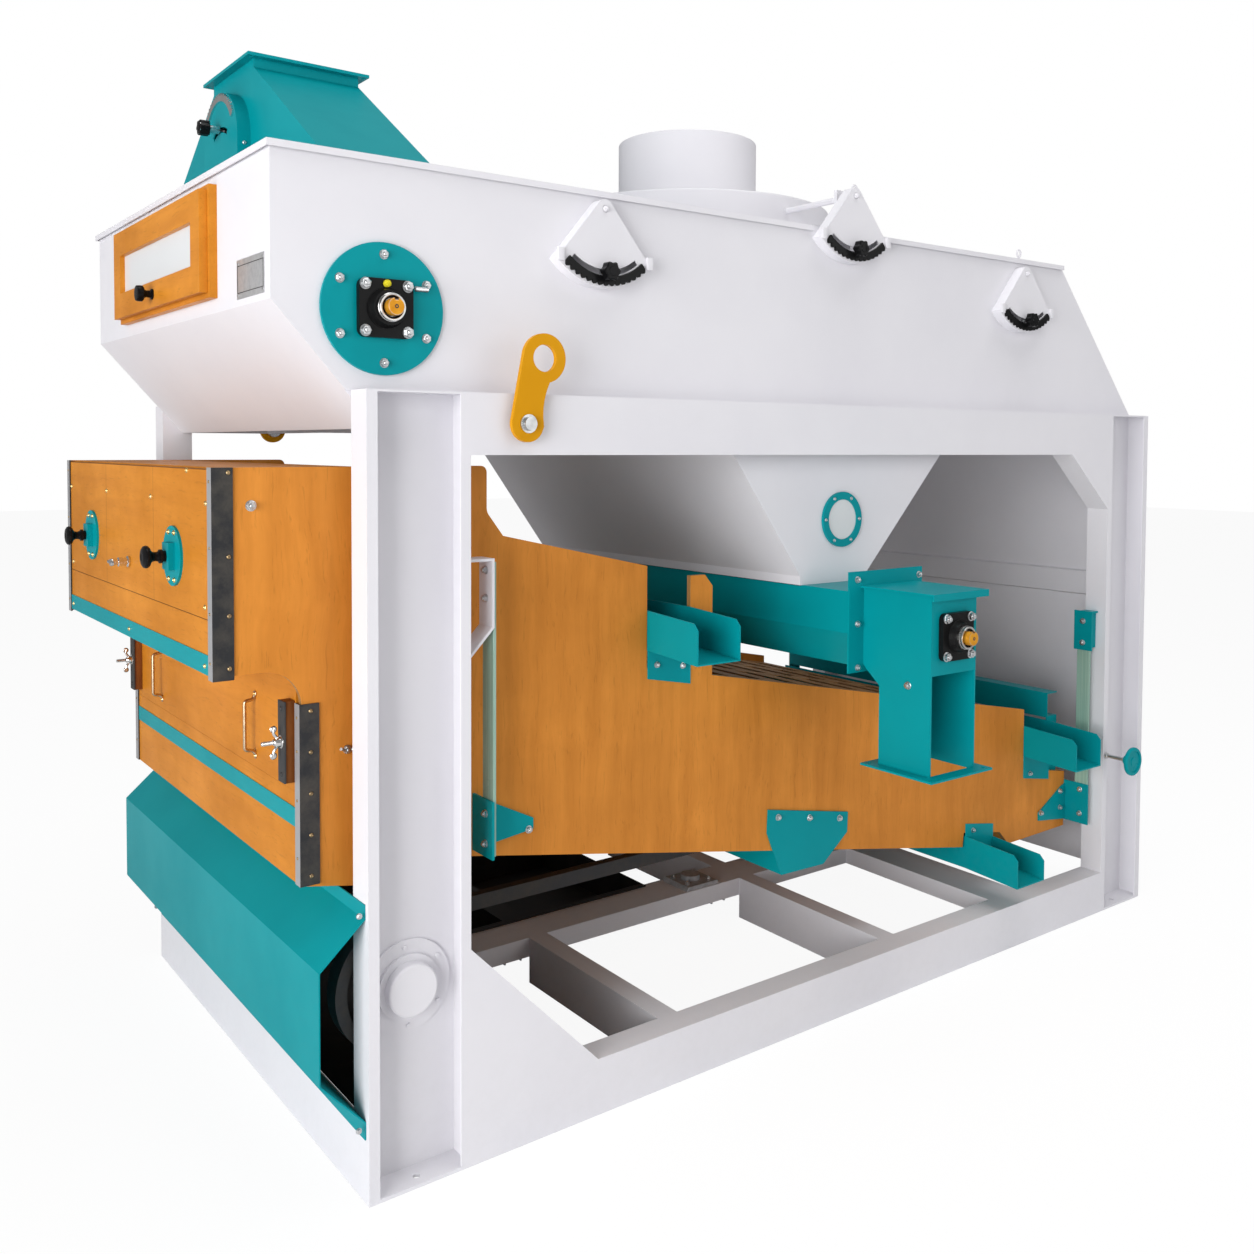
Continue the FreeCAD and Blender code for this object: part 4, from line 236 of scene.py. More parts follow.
# %% Floor
floor_mesh = bpy.data.meshes.new("studio_floor")
reach = 30.0
floor_mesh.from_pydata([(-reach, -reach, 0), (reach, -reach, 0), (reach, reach, 0), (-reach, reach, 0)],
                       [], [(0, 1, 2, 3)])
floor = new_object("studio_floor", floor_mesh)
floor.location.z = -0.0005
floor_paint = bpy.data.materials.new("studio_floor_white")
floor_paint.use_nodes = True
tree = floor_paint.node_tree
tree.nodes.clear()
lit = add_node(tree, "BsdfDiffuse", {"Color": (0.86, 0.86, 0.87)})
own_white = add_node(tree, "Emission", {"Color": (1, 1, 1), "Strength": 1.03})
share = maths(tree, "MULTIPLY", add_node(tree, "LightPath").outputs["Is Camera Ray"], 0.9)
mix = add_node(tree, "MixShader", {"Fac": share, 1: lit.outputs[0], 2: own_white.outputs[0]})
add_node(tree, "OutputMaterial", {"Surface": mix.outputs[0]})
floor_mesh.materials.append(floor_paint)
print("floor laid")

# %% [markdown]
# Sprayed paint is never quite even. The film group drifts slowly in tone, has a very fine orange-peel
# height, and gathers a little dust low down. One could paint a picture of this, but noise in the object's
# own space needs no picture, has the same scale on every sheet and stays put when a part moves.

# %% Paint film group
film, entry = new_group("paint_film", {"Dust height": 0.5, "Peel scale": 420.0})
place = add_node(film, "TexCoord").outputs["Object"]
drift = noise(film, place, 2.3, detail=4.0, roughness=0.6)
low_down = ramp(film, coordinate(film, "Z"), 0.0, entry["Dust height"], 1.0, 0.0)
speckle = ramp(film, noise(film, place, 38.0, detail=6.0, roughness=0.7), 0.42, 0.75)
dust = maths(film, "MULTIPLY", low_down, speckle)
peel = noise(film, place, entry["Peel scale"], detail=1.0)
give_out(film, Drift=drift, Dust=dust, Height=peel)


# %% [markdown]
# A material here is one Principled shader with a few sockets fed by groups. This helper makes the shader
# and hands back its tree, so that each finish below is only a short recipe.

# %% Start of a material
materials = {}


def new_material(name):
    material = bpy.data.materials.new(name)
    material.use_nodes = True
    shader = material.node_tree.nodes["Principled BSDF"]
    shader.inputs["Specular IOR Level"].default_value = 0.08
    materials[name] = material
    return material.node_tree, shader


def place_group(tree, group, **values):
    """Place a group, set its inputs and hand back its outputs. An underscore stands for a space."""
    node = tree.nodes.new("ShaderNodeGroup")
    node.node_tree = group
    for label, value in values.items():
        node.inputs[label.replace("_", " ")].default_value = value
    return node.outputs


def dress(tree, shader, colour, roughness):
    tree.links.new(colour, shader.inputs["Base Color"])
    tree.links.new(roughness, shader.inputs["Roughness"])


def bump(tree, shader, height, strength, distance):
    node = add_node(tree, "Bump", {"Strength": strength, "Distance": distance, "Height": height})
    tree.links.new(node.outputs["Normal"], shader.inputs["Normal"])


print("material helpers ready")


# %% [markdown]
# The frame and the casing are powder-coated off-white, the hood, spout, chutes and brackets a glossy
# blue-green, and the lifting lugs a warm yellow. They share one recipe: base colour, a slightly darker
# drift, grey dust low down, and a gloss that dulls where the dust lies.

# %% Paints
dust_grey = (0.36, 0.34, 0.31)
enamel, enamel_shaded = (0.001, 0.30, 0.335), (0.0008, 0.265, 0.30)


def paint(name, colour, shaded, roughness, coat=0.0, peel=420.0):
    tree, shader = new_material(name)
    film_out = place_group(tree, film, Dust_height=0.5, Peel_scale=peel)
    tone = blend_colours(tree, ramp(tree, film_out["Drift"], 0.35, 0.7), colour, shaded)
    dirt = maths(tree, "MULTIPLY", film_out["Dust"], 0.05)
    gloss = ramp(tree, film_out["Drift"], 0.3, 0.7, roughness, roughness + 0.08)
    dress(tree, shader, blend_colours(tree, dirt, tone, dust_grey), maths(tree, "ADD", gloss, dirt))
    shader.inputs["Coat Weight"].default_value = coat
    shader.inputs["Coat Roughness"].default_value = 0.12
    bump(tree, shader, film_out["Height"], 0.05, 0.0006)


paint("white_coat", (0.79, 0.78, 0.815), (0.755, 0.745, 0.785), 0.36)
paint("blue_green_enamel", enamel, enamel_shaded, 0.3)
paint("lug_yellow", (0.70, 0.32, 0.004), (0.62, 0.275, 0.003), 0.33)
paint("plug_yellow", (0.72, 0.62, 0.03), (0.62, 0.52, 0.02), 0.3)
paint("black_lacquer", (0.006, 0.006, 0.0065), (0.011, 0.011, 0.011), 0.26, coat=0.08, peel=900.0)
print("paints:", list(materials))

# %% [markdown]
# The sieve boat is varnished beech plywood. Its face has long soft figure, fine dark flecks along the
# grain and cloudy patches where the varnish took unevenly. Stretched noise gives all three: the same
# noise, squeezed across the grain and drawn out along it. The grain direction is an input of the group,
# because the sides run upright and the door boards lie crosswise.

# %% Wood grain group
grain, entry = new_group("beech_figure", {"Stretch": (60.0, 60.0, 4.0), "Cloud scale": 2.2})
place = add_node(grain, "TexCoord").outputs["Object"]
drawn_out = add_node(grain, "VectorMath", {0: place, 1: entry["Stretch"]}, "MULTIPLY").outputs["Vector"]
wander = noise(grain, place, 5.0, detail=2.0, output="Color")
wavy = add_node(grain, "VectorMath", {0: wander, 1: (2.4, 2.4, 2.4), 2: drawn_out}, "MULTIPLY_ADD")
figure = noise(grain, wavy.outputs["Vector"], 0.35, detail=5.0, roughness=0.62)
fleck = ramp(grain, noise(grain, wavy.outputs["Vector"], 3.2, detail=2.0, roughness=0.55), 0.60, 0.72)
cloud = noise(grain, place, entry["Cloud scale"], detail=5.0, roughness=0.6)
give_out(grain, Figure=figure, Fleck=fleck, Cloud=cloud)

# %% [markdown]
# Where a board is sawn through, plywood shows its layers: thin stripes of end grain and long grain in
# turn. The faces of the boat's sides look to the front and the rear, so every other face is a sawn edge.
# The group compares the surface direction with the face direction, and stripes the edge by its depth.

# %% Plywood edge group
plies, entry = new_group("ply_edge", {"Layers per metre": 620.0})
facing = maths(plies, "ABSOLUTE", coordinate(plies, "Y", "Normal"))
wave = maths(plies, "SINE", maths(plies, "MULTIPLY", coordinate(plies, "Y"), entry["Layers per metre"]))
give_out(plies, Edge=ramp(plies, facing, 0.5, 0.7, 1.0, 0.0), Layer=ramp(plies, wave, -0.4, 0.4))

# %% [markdown]
# Each wood is the same recipe with its own stain: figure first, then clouds, then flecks, and on the boat's
# sides the sawn edges. The boat's sides are the same beech as the doors, and their lighter colours are
# painted light, for the stronger light in the front bay. The upper door is glued up from boards, so fine dark
# lines mark its joints. Grooves could be cut for them, but at a millimetre's width a line of colour looks the
# same.


# %% Wood finishes
def seam_mask(tree, axis, stations, half_width):
    """A thin line wherever one coordinate passes one of the stations, in metres."""
    along = coordinate(tree, axis)
    mask = None
    for station in stations:
        away = maths(tree, "ABSOLUTE", maths(tree, "SUBTRACT", along, station))
        line = ramp(tree, away, half_width * 0.5, half_width, 1.0, 0.0)
        mask = line if mask is None else maths(tree, "MAXIMUM", mask, line)
    return mask


def wood(name, light, dark, stretch, cloud_scale, edges=False, roughness=0.34, seams=()):
    tree, shader = new_material(name)
    grain_out = place_group(tree, grain, Stretch=stretch, Cloud_scale=cloud_scale)
    figure = ramp(tree, grain_out["Figure"], 0.32, 0.68)
    cloud = ramp(tree, grain_out["Cloud"], 0.35, 0.72)
    clouded, flecked, jointed = (tuple(depth * part for part in dark) for depth in (0.72, 0.45, 0.16))
    board = blend_colours(tree, maths(tree, "MULTIPLY", figure, 0.65), light, dark)
    board = blend_colours(tree, maths(tree, "MULTIPLY", cloud, 0.55), board, clouded)
    board = blend_colours(tree, maths(tree, "MULTIPLY", grain_out["Fleck"], 0.24), board, flecked)
    height = maths(tree, "ADD", grain_out["Figure"], maths(tree, "MULTIPLY", grain_out["Fleck"], -0.4))
    if edges:
        ply_out = place_group(tree, plies, Layers_per_metre=1900.0)
        stripe = blend_colours(tree, ply_out["Layer"], (0.50, 0.27, 0.10), (0.20, 0.085, 0.025))
        board = blend_colours(tree, ply_out["Edge"], board, stripe)
    for axis, stations, half_width in seams:
        joint = maths(tree, "MULTIPLY", seam_mask(tree, axis, stations, half_width), 0.8)
        board = blend_colours(tree, joint, board, jointed)
    dress(tree, shader, board, ramp(tree, grain_out["Cloud"], 0.3, 0.7, roughness, roughness + 0.14))
    shader.inputs["Coat Weight"].default_value = 0.06
    shader.inputs["Coat Roughness"].default_value = 0.2
    bump(tree, shader, height, 0.06, 0.0006)


upright, crosswise = (60.0, 60.0, 5.0), (60.0, 6.0, 60.0)
door_light, door_dark = (0.72, 0.275, 0.027), (0.53, 0.18, 0.014)
# The sides' colours are lighter than the doors' as painted light: the same beech, more strongly lit in the
# front bay.
wood("lit_side_plywood", (0.77, 0.295, 0.048), (0.54, 0.185, 0.024), upright, 2.0, edges=True)
wood("door_plywood", door_light, door_dark, crosswise, 2.6)
wood("top_door_plywood", door_light, door_dark, crosswise, 2.6,
     seams=[("Y", [at(0, 577, 0).y, at(0, 1032, 0).y], 0.0011), ("Z", [1.304, 1.626], 0.0022)])
wood("batten_wood", (0.26, 0.085, 0.018), (0.13, 0.038, 0.010), (80.0, 80.0, 6.0), 6.0, roughness=0.42)
wood("sieve_wood", (0.55, 0.30, 0.12), (0.40, 0.19, 0.07), (8.0, 60.0, 60.0), 3.0, roughness=0.5)
print("woods:", [n for n in materials if "wood" in n])

# %% [markdown]
# Metal parts are bare: zinc-plated bolts, a dark mill-scale angle on the boat's corners, bright wire
# handles and chrome fittings. A metal's colour is in its reflection, so the metallic value is one for
# bright metal and lower where scale, paint or grease covers it. Smudges and fine scratches work on the
# roughness.

# %% Metal wear group
wear, entry = new_group("metal_wear", {"Scale": 30.0})
place = add_node(wear, "TexCoord").outputs["Object"]
smudge = noise(wear, place, entry["Scale"], detail=6.0, roughness=0.65)
combed = add_node(wear, "VectorMath", {0: place, 1: (900.0, 900.0, 25.0)}, "MULTIPLY").outputs["Vector"]
give_out(wear, Smudge=smudge, Scratch=ramp(wear, noise(wear, combed, 1.0), 0.55, 0.75))


# %% Metals
def metal(name, colour, stained, roughness, spread=0.15, metallic=1.0, scale=30.0):
    tree, shader = new_material(name)
    wear_out = place_group(tree, wear, Scale=scale)
    tone = blend_colours(tree, ramp(tree, wear_out["Smudge"], 0.4, 0.68), colour, stained)
    rough = ramp(tree, wear_out["Smudge"], 0.3, 0.7, roughness, roughness + spread)
    dress(tree, shader, tone, maths(tree, "ADD", rough, maths(tree, "MULTIPLY", wear_out["Scratch"], 0.1)))
    shader.inputs["Metallic"].default_value = metallic
    bump(tree, shader, wear_out["Scratch"], 0.04, 0.0003)


metal("zinc_plate", (0.66, 0.67, 0.68), (0.48, 0.49, 0.50), 0.24)
metal("mill_steel", (0.060, 0.061, 0.064), (0.085, 0.078, 0.070), 0.45, metallic=0.35, scale=14.0)
metal("bright_steel", (0.62, 0.61, 0.60), (0.45, 0.44, 0.43), 0.2)
metal("chrome_plate", (0.78, 0.77, 0.76), (0.66, 0.65, 0.63), 0.08, spread=0.08)
metal("bronze_wire", (0.62, 0.48, 0.33), (0.42, 0.30, 0.19), 0.2)
metal("brass_screw", (0.88, 0.66, 0.30), (0.70, 0.46, 0.16), 0.18)
metal("old_brass", (0.42, 0.30, 0.16), (0.24, 0.17, 0.10), 0.3)
metal("orange_shaft_end", (0.86, 0.42, 0.04), (0.70, 0.28, 0.02), 0.35, metallic=0.55)
metal("satin_sheet", (0.74, 0.74, 0.75), (0.62, 0.62, 0.63), 0.34, metallic=0.75, scale=60.0)
metal("grey_casting", (0.50, 0.50, 0.51), (0.36, 0.36, 0.37), 0.45, metallic=0.5, scale=45.0)
metal("dark_iron", (0.008, 0.008, 0.0085), (0.016, 0.015, 0.014), 0.4, metallic=0.2, scale=60.0)
# Near-black sheet: the fines tray's own colour, and also the painted shade laid under the drive.
metal("black_tray_and_shade_sheet", (0.016, 0.0155, 0.0155), (0.035, 0.033, 0.031), 0.5, metallic=0.1, scale=9.0)
print("materials so far:", len(materials))

# %% [markdown]
# Knobs are moulded black plastic with a soft shine. The leaf springs are glass-fibre strip: pale green,
# with faint strands along their length. Panes are clear and slightly milky, as acrylic gets.

# %% Plastic, glass fibre and panes
tree, shader = new_material("black_plastic")
film_out = place_group(tree, film, Dust_height=0.1, Peel_scale=1500.0)
tone = blend_colours(tree, film_out["Drift"], (0.004, 0.004, 0.0045), (0.008, 0.008, 0.0085))
dress(tree, shader, tone, ramp(tree, film_out["Drift"], 0.3, 0.7, 0.16, 0.3))
shader.inputs["Coat Weight"].default_value = 0.1
bump(tree, shader, film_out["Height"], 0.05, 0.0003)

tree, shader = new_material("glass_fibre_strip")
grain_out = place_group(tree, grain, Stretch=(700.0, 700.0, 6.0), Cloud_scale=4.0)
strands = ramp(tree, grain_out["Figure"], 0.35, 0.65)
tone = blend_colours(tree, strands, (0.36, 0.53, 0.44), (0.25, 0.42, 0.34))
dress(tree, shader, tone, ramp(tree, grain_out["Cloud"], 0.3, 0.7, 0.24, 0.36))
shader.inputs["Coat Weight"].default_value = 0.4
bump(tree, shader, grain_out["Figure"], 0.08, 0.0004)

tree, shader = new_material("clear_pane")
film_out = place_group(tree, film, Dust_height=3.0, Peel_scale=60.0)
tone = blend_colours(tree, film_out["Drift"], (0.93, 0.95, 0.96), (0.88, 0.90, 0.92))
dress(tree, shader, tone, ramp(tree, film_out["Dust"], 0.0, 1.0, 0.04, 0.2))
shader.inputs["Transmission Weight"].default_value = 0.25
shader.inputs["IOR"].default_value = 1.49
print("materials:", len(materials))

# %% [markdown]
# Two parts show two finishes at once. The corner angles are dark mill-scale steel, but their faces that look
# left are coloured bright bare steel. The handwheel is enamelled and its rod is bare steel. Each could be
# split into two pieces, but one finish that looks at the direction or the place keeps the part whole.

# %% Corner angle finish
tree, shader = new_material("corner_angle_steel")
wear_out = place_group(tree, wear, Scale=16.0)
# Faces that look left (-X) get a bright bare-steel colour; the others keep the dark scale.
left_facing = ramp(tree, coordinate(tree, "X", "Normal"), -0.9, -0.6, 1.0, 0.0)
stain = ramp(tree, wear_out["Smudge"], 0.4, 0.7)
scale_skin = blend_colours(tree, stain, (0.040, 0.041, 0.044), (0.09, 0.082, 0.072))
tone = blend_colours(tree, left_facing, scale_skin, (0.42, 0.42, 0.43))
dress(tree, shader, tone, ramp(tree, wear_out["Smudge"], 0.3, 0.7, 0.34, 0.5))
shader.inputs["Metallic"].default_value = 0.4
bump(tree, shader, wear_out["Scratch"], 0.05, 0.0003)
print("angle finish made")

# %% Handwheel finish
tree, shader = new_material("wheel_enamel")
film_out = place_group(tree, film, Dust_height=0.5, Peel_scale=420.0)
bare = ramp(tree, coordinate(tree, "Y"), at(0, -77, 0).y, at(0, -75, 0).y)
tone = blend_colours(tree, film_out["Drift"], enamel, enamel_shaded)
dress(tree, shader, blend_colours(tree, bare, tone, (0.62, 0.62, 0.62)),
      ramp(tree, film_out["Drift"], 0.3, 0.7, 0.24, 0.33))
tree.links.new(bare, shader.inputs["Metallic"])
bump(tree, shader, film_out["Height"], 0.05, 0.0006)
print("wheel finish made")

# %% [markdown]
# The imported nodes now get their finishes. Each CAD object keeps its shape and only its material slots
# are filled. The table reads like a paint shop's list: finish first, then everything that gets it.

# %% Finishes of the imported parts
finishes = {
    "white_coat": ["front_posts", "rear_posts", "frame_beams", "floor_rails", "end_panels", "upper_casing",
                   "casing_lid", "settling_hopper", "outlet_drum", "outlet_duct", "left_sector_box",
                   "throttle_sector_box", "right_sector_box", "left_spring_hangers", "shaft_bearing_covers",
                   "throttle_valve"],
    "blue_green_enamel": ["sight_glass_ring", "feed_inlet", "inlet_quadrant_box", "feed_bearing_discs",
                          "screw_trough", "discharge_spout", "cross_chutes", "boat_strips", "drive_brackets",
                          "clamp_discs", "right_spring_hangers", "spring_feet", "drive_hood"],
    "wheel_enamel": ["handwheel"],
    "lug_yellow": ["front_lifting_lug", "rear_lifting_lug"],
    "black_lacquer": ["flange_bearings"],
    "lit_side_plywood": ["boat_sides"],
    "top_door_plywood": ["upper_door"],
    "door_plywood": ["boat_floor", "lower_door", "window_surround", "window_sash"],
    "sieve_wood": ["sieve_decks"],
    "zinc_plate": ["lug_bolts", "left_air_valve", "right_air_valve", "inlet_divider_flap"],
    "bright_steel": ["feed_roll", "conveyor_screw"],
    "corner_angle_steel": ["corner_angles"],
    "mill_steel": ["eccentric_shaft", "connecting_rods"],
    "grey_casting": ["rail_casting"],
    "dark_iron": ["toothed_arcs"],
    "black_tray_and_shade_sheet": ["fines_tray"],
    "bronze_wire": ["door_handles"],
    "batten_wood": ["clamp_bars"],
    "chrome_plate": ["door_latch"],
    "black_plastic": ["front_clamp_knob", "rear_clamp_knob"],
    "glass_fibre_strip": ["leaf_springs"],
    "clear_pane": ["sight_glass_pane", "window_pane"],
}
for finish, names in finishes.items():
    for name in names:
        slots = nodes[name].data.materials
        if not slots:
            slots.append(materials[finish])
        for index in range(len(slots)):
            slots[index] = materials[finish]
left_out = set(nodes) - {name for names in finishes.values() for name in names}
print("finished nodes:", len(nodes) - len(left_out), "left out:", sorted(left_out))

# %% [markdown]
# Most small fittings are turned or sawn shapes: bolts, knobs, rings, bars. Four helpers make nearly all of
# them in bmesh. One spins an outline around an axis, one pushes a flat outline through a thickness, and
# both take a matrix that stands the shape on its seat. One makes a bar with soft edges, and one sweeps a
# round wire along points. Primitives could be added through operators instead, but mesh code keeps every
# profile readable and runs without any selection.

# %% Shape helpers
front = Vector((0, -1, 0))
back = Vector((0, 1, 0))
left = Vector((-1, 0, 0))
right = Vector((1, 0, 0))
top = Vector((0, 0, 1))


def stand(place, direction, twist=0.0):
    """Matrix in metres for a shape in millimetres whose own Z points along a direction."""
    turn = direction.to_track_quat("Z", "Y").to_matrix().to_4x4()
    spin = Matrix.Rotation(math.radians(twist), 4, "Z")
    return Matrix.Translation(at(*place)) @ turn @ spin @ Matrix.Scale(MM, 4)


def spin_outline(mesh, outline, seat, steps=24):
    """Turn (radius, height) points around Z. Six steps make a hexagon."""
    rings = []
    for radius, height in outline:
        if radius == 0:
            rings.append([mesh.verts.new(seat @ Vector((0, 0, height)))])
            continue
        rings.append([mesh.verts.new(seat @ Vector((radius * math.cos(2 * math.pi * i / steps),
                                                    radius * math.sin(2 * math.pi * i / steps), height)))
                      for i in range(steps)])
    for low, high in zip(rings, rings[1:]):
        for i in range(steps):
            j = (i + 1) % steps
            corners = [low[i % len(low)], low[j % len(low)], high[j % len(high)], high[i % len(high)]]
            mesh.faces.new(list(dict.fromkeys(corners)))


def skin(mesh, rings, closed=False):
    """Join rings of points by faces, and cap both ends unless the last ring meets the first."""
    count = len(rings[0])
    for one, two in zip(rings, rings[1:] + rings[:1] if closed else rings[1:]):
        for k in range(count):
            mesh.faces.new((one[k], one[(k + 1) % count], two[(k + 1) % count], two[k]))
    if not closed:
        mesh.faces.new(list(reversed(rings[0])))
        mesh.faces.new(rings[-1])


def push_outline(mesh, points, low, high, seat, chamfer):
    """Push a flat outline from one height to another, with a small chamfer on the upper rim."""
    middle_point = Vector((sum(p[0] for p in points), sum(p[1] for p in points))) / len(points)
    rings = []
    for height, shrink in ((low, 0.0), (high - chamfer, 0.0), (high, chamfer)):
        ring_points = []
        for x, y in points:
            inward = middle_point - Vector((x, y))
            moved = Vector((x, y)) + inward.normalized() * shrink * 1.4
            ring_points.append(mesh.verts.new(seat @ Vector((moved.x, moved.y, height))))
        rings.append(ring_points)
    skin(mesh, rings)


def block(mesh, low, high, chamfer=1.0):
    """A bar between two station corners with softened edges."""
    before = set(mesh.verts)
    a, b = at(*low), at(*high)
    bmesh.ops.create_cube(mesh, size=1.0,
                          matrix=Matrix.Translation((a + b) / 2) @ Matrix.Diagonal((*(b - a), 1)))
    made = [v for v in mesh.verts if v not in before]
    if chamfer:
        edges = list({e for v in made for e in v.link_edges})
        bmesh.ops.bevel(mesh, geom=edges, offset=chamfer * MM, segments=2, profile=0.6, affect="EDGES")


def sweep_wire(mesh, points, radius, steps=10, closed=False):
    """A round wire through station points."""
    line = [at(*p) for p in points]
    count = len(line)
    rings = []
    across = None
    for i, point in enumerate(line):
        before = line[(i - 1) % count] if closed or i else point
        after = line[(i + 1) % count] if closed or i < count - 1 else point
        along = (after - before).normalized()
        if across is None:
            across = along.orthogonal().normalized()
        across = (across - along * across.dot(along)).normalized()
        third = along.cross(across)
        rings.append([mesh.verts.new(point + radius * MM * (across * math.cos(2 * math.pi * k / steps)
                                                            + third * math.sin(2 * math.pi * k / steps)))
                      for k in range(steps)])
    skin(mesh, rings, closed)


def bend(points, radius, steps=4):
    """Round the corners of a line of points."""
    rounded = [Vector(points[0])]
    for before, corner_point, after in zip(points, points[1:], points[2:]):
        c = Vector(corner_point)
        a = c + (Vector(before) - c).normalized() * radius
        b = c + (Vector(after) - c).normalized() * radius
        for k in range(steps + 1):
            t = k / steps
            rounded.append((1 - t) ** 2 * a + 2 * t * (1 - t) * c + t * t * b)
    rounded.append(Vector(points[-1]))
    return [tuple(p) for p in rounded]


def mesh_object(name, mesh, finish):
    """Close a mesh and make an object of it."""
    bmesh.ops.recalc_face_normals(mesh, faces=mesh.faces)
    data = bpy.data.meshes.new(name)
    mesh.to_mesh(data)
    mesh.free()
    data.materials.append(materials[finish])
    return new_object(name, data)


def piece(name, mesh, finish, body, replaced=()):
    """Make an object, smooth it up to its sharp edges and hang it on its body."""
    made = mesh_object(name, mesh, finish)
    for face in made.data.polygons:
        face.use_smooth = True
    made.data.set_sharp_from_angle(angle=math.radians(35))
    if replaced:
        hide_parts(*replaced)
    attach(made, body)


print("shape helpers ready")

# %% [markdown]
# Nearly all joints on the machine are closed with zinc-plated hexagon nuts on a round washer, with the
# stud end showing. One function makes such a set at any scale, and one call makes a whole group of them,
# because a group rides together and one mesh is lighter than dozens of objects.

# %% Bolts
washer_outline = [(0, -0.4), (11.5, -0.4), (11.5, 1.6), (10.6, 2.0), (0, 2.0)]
nut_outline = [(0, 1.8), (10.0, 1.8), (10.0, 8.0), (8.6, 9.2), (0, 9.2)]
stud_outline = [(0, 9.0), (5.4, 9.0), (5.4, 12.4), (4.2, 13.8), (0, 14.2)]
head_outline = [(0, -0.3), (5.0, -0.3), (5.0, 0.5), (4.2, 1.9), (2.6, 2.7), (2.2, 2.2), (0, 2.0)]


def scaled(outline, scale):
    """The same outline at another size. What is sunk below the seat keeps its depth."""
    return [(radius * scale, height * scale if height > 0 else height) for radius, height in outline]


def nut_and_stud(mesh, place, direction, scale=1.0, twist=0.0, stud=True):
    seat = stand(place, direction, twist)
    spin_outline(mesh, scaled(washer_outline, scale), seat, 20)
    spin_outline(mesh, scaled(nut_outline, scale), seat, 6)
    if stud:
        spin_outline(mesh, scaled(stud_outline, scale), seat, 14)


def round_screw(mesh, place, direction, scale=1.0, twist=20.0):
    spin_outline(mesh, scaled(head_outline, scale), stand(place, direction, twist), 16)


def bolt_group(name, body, places, scale=1.0, finish="zinc_plate", stud=True):
    """places holds (x, y, z, direction). Each nut is turned a little further than the one before."""
    mesh = bmesh.new()
    for i, (*place, direction) in enumerate(places):
        nut_and_stud(mesh, place, direction, scale, 17.0 * i, stud)
    piece(name, mesh, finish, body)


def screw_group(name, body, places, scale=1.0, finish="brass_screw"):
    mesh = bmesh.new()
    for i, (*place, direction) in enumerate(places):
        round_screw(mesh, place, direction, scale, 31.0 * i)
    piece(name, mesh, finish, body)


def both_sides(places):
    """Add the same places on the rear face."""
    return places + [(x, rear(y), z, back if direction == front else direction)
                     for x, y, z, direction in places]


def ring(x, y, z, radius, degrees):
    """Places round a circle that looks to the front."""
    return [(x + radius * math.cos(math.radians(a)), y, z + radius * math.sin(math.radians(a)), front)
            for a in degrees]


def square(x, y, z, half=51):
    """The four bolt places of a flange unit."""
    return [(x + across * half, y, z + up * half, front) for across in (-1, 1) for up in (-1, 1)]


roll_x, roll_z = 73.0, 1981.0
screw_x, screw_z = 1560.0, 1168.0
disc_face, unit_face = 67.0, 52.0
disc_bolts = ring(roll_x, disc_face, roll_z, 120, range(30, 390, 60))
bolt_group("feed_disc_bolts", "frame", both_sides(disc_bolts), 0.95)
unit_nuts = square(roll_x, unit_face, roll_z)
bolt_group("feed_bearing_nuts", "frame", both_sides(unit_nuts), 1.15)
conveyor_nuts = square(screw_x, -351.0, screw_z)
conveyor_nuts += [(x, 1524.0, z, back) for x, _, z, _ in conveyor_nuts]
bolt_group("conveyor_bearing_nuts", "frame", conveyor_nuts, 1.15)
print("bearing bolts:", len(disc_bolts) * 2 + len(unit_nuts) * 2 + len(conveyor_nuts))

# %% [markdown]
# Each shaft comes out of a black flange unit: a bright inner race with a locking ring, a gap, and the
# turned shaft end with its keyway, painted orange against rust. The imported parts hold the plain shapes.
# The race, the key slot and the grease plug are small turned pieces laid over them.

# %% Shaft ends and races
def shaft_end(name, x, z, y_tip, direction, body):
    """A keyed cap of colour over the drive end, and a small turned centre on its tip."""
    seat = stand((x, y_tip, z), direction)
    mesh = bmesh.new()
    outline = [(19.3 * math.sin(math.radians(a)), 19.3 * math.cos(math.radians(a)))
               for a in range(16, 345, 8)]
    outline += [(-5.0, 14.2), (5.0, 14.2)]
    push_outline(mesh, outline, -22.0, 0.5, seat, 1.2)
    piece(name, mesh, "orange_shaft_end", body)
    mesh = bmesh.new()
    spin_outline(mesh, [(0, 0.4), (4.6, 0.4), (4.6, 1.0), (3.0, 0.9), (0, -0.2)], seat, 18)
    piece(name + "_centre", mesh, "mill_steel", body)


def race(name, x, y_face, z, direction, reach):
    seat = stand((x, y_face, z), direction)
    mesh = bmesh.new()
    spin_outline(mesh, [(25.5, -1.0), (25.5, reach - 1.0), (26.5, reach), (30.0, reach), (31.0, reach - 1.2),
                        (31.0, reach * 0.45), (32.0, reach * 0.45 - 1), (32.0, -1.0)], seat, 40)
    piece(name, mesh, "bright_steel", "frame")
    mesh = bmesh.new()
    spin_outline(mesh, [(20.2, -1.0), (20.2, 4.0), (22.5, 4.0), (23.0, -1.0)], seat, 32)
    spin_outline(mesh, [(45.5, -19.8), (45.5, -17.5), (42.5, -16.8), (40.2, -13.0)], seat, 40)
    piece(name + "_seal", mesh, "black_lacquer", "frame")


def thread(core, crest, start, pitch, rise, turns=12):
    """Outline points of a thread: core, crest and core again at every turn."""
    return [(radius, start + part * rise + pitch * turn) for turn in range(turns)
            for part, radius in enumerate((core, crest, core))]


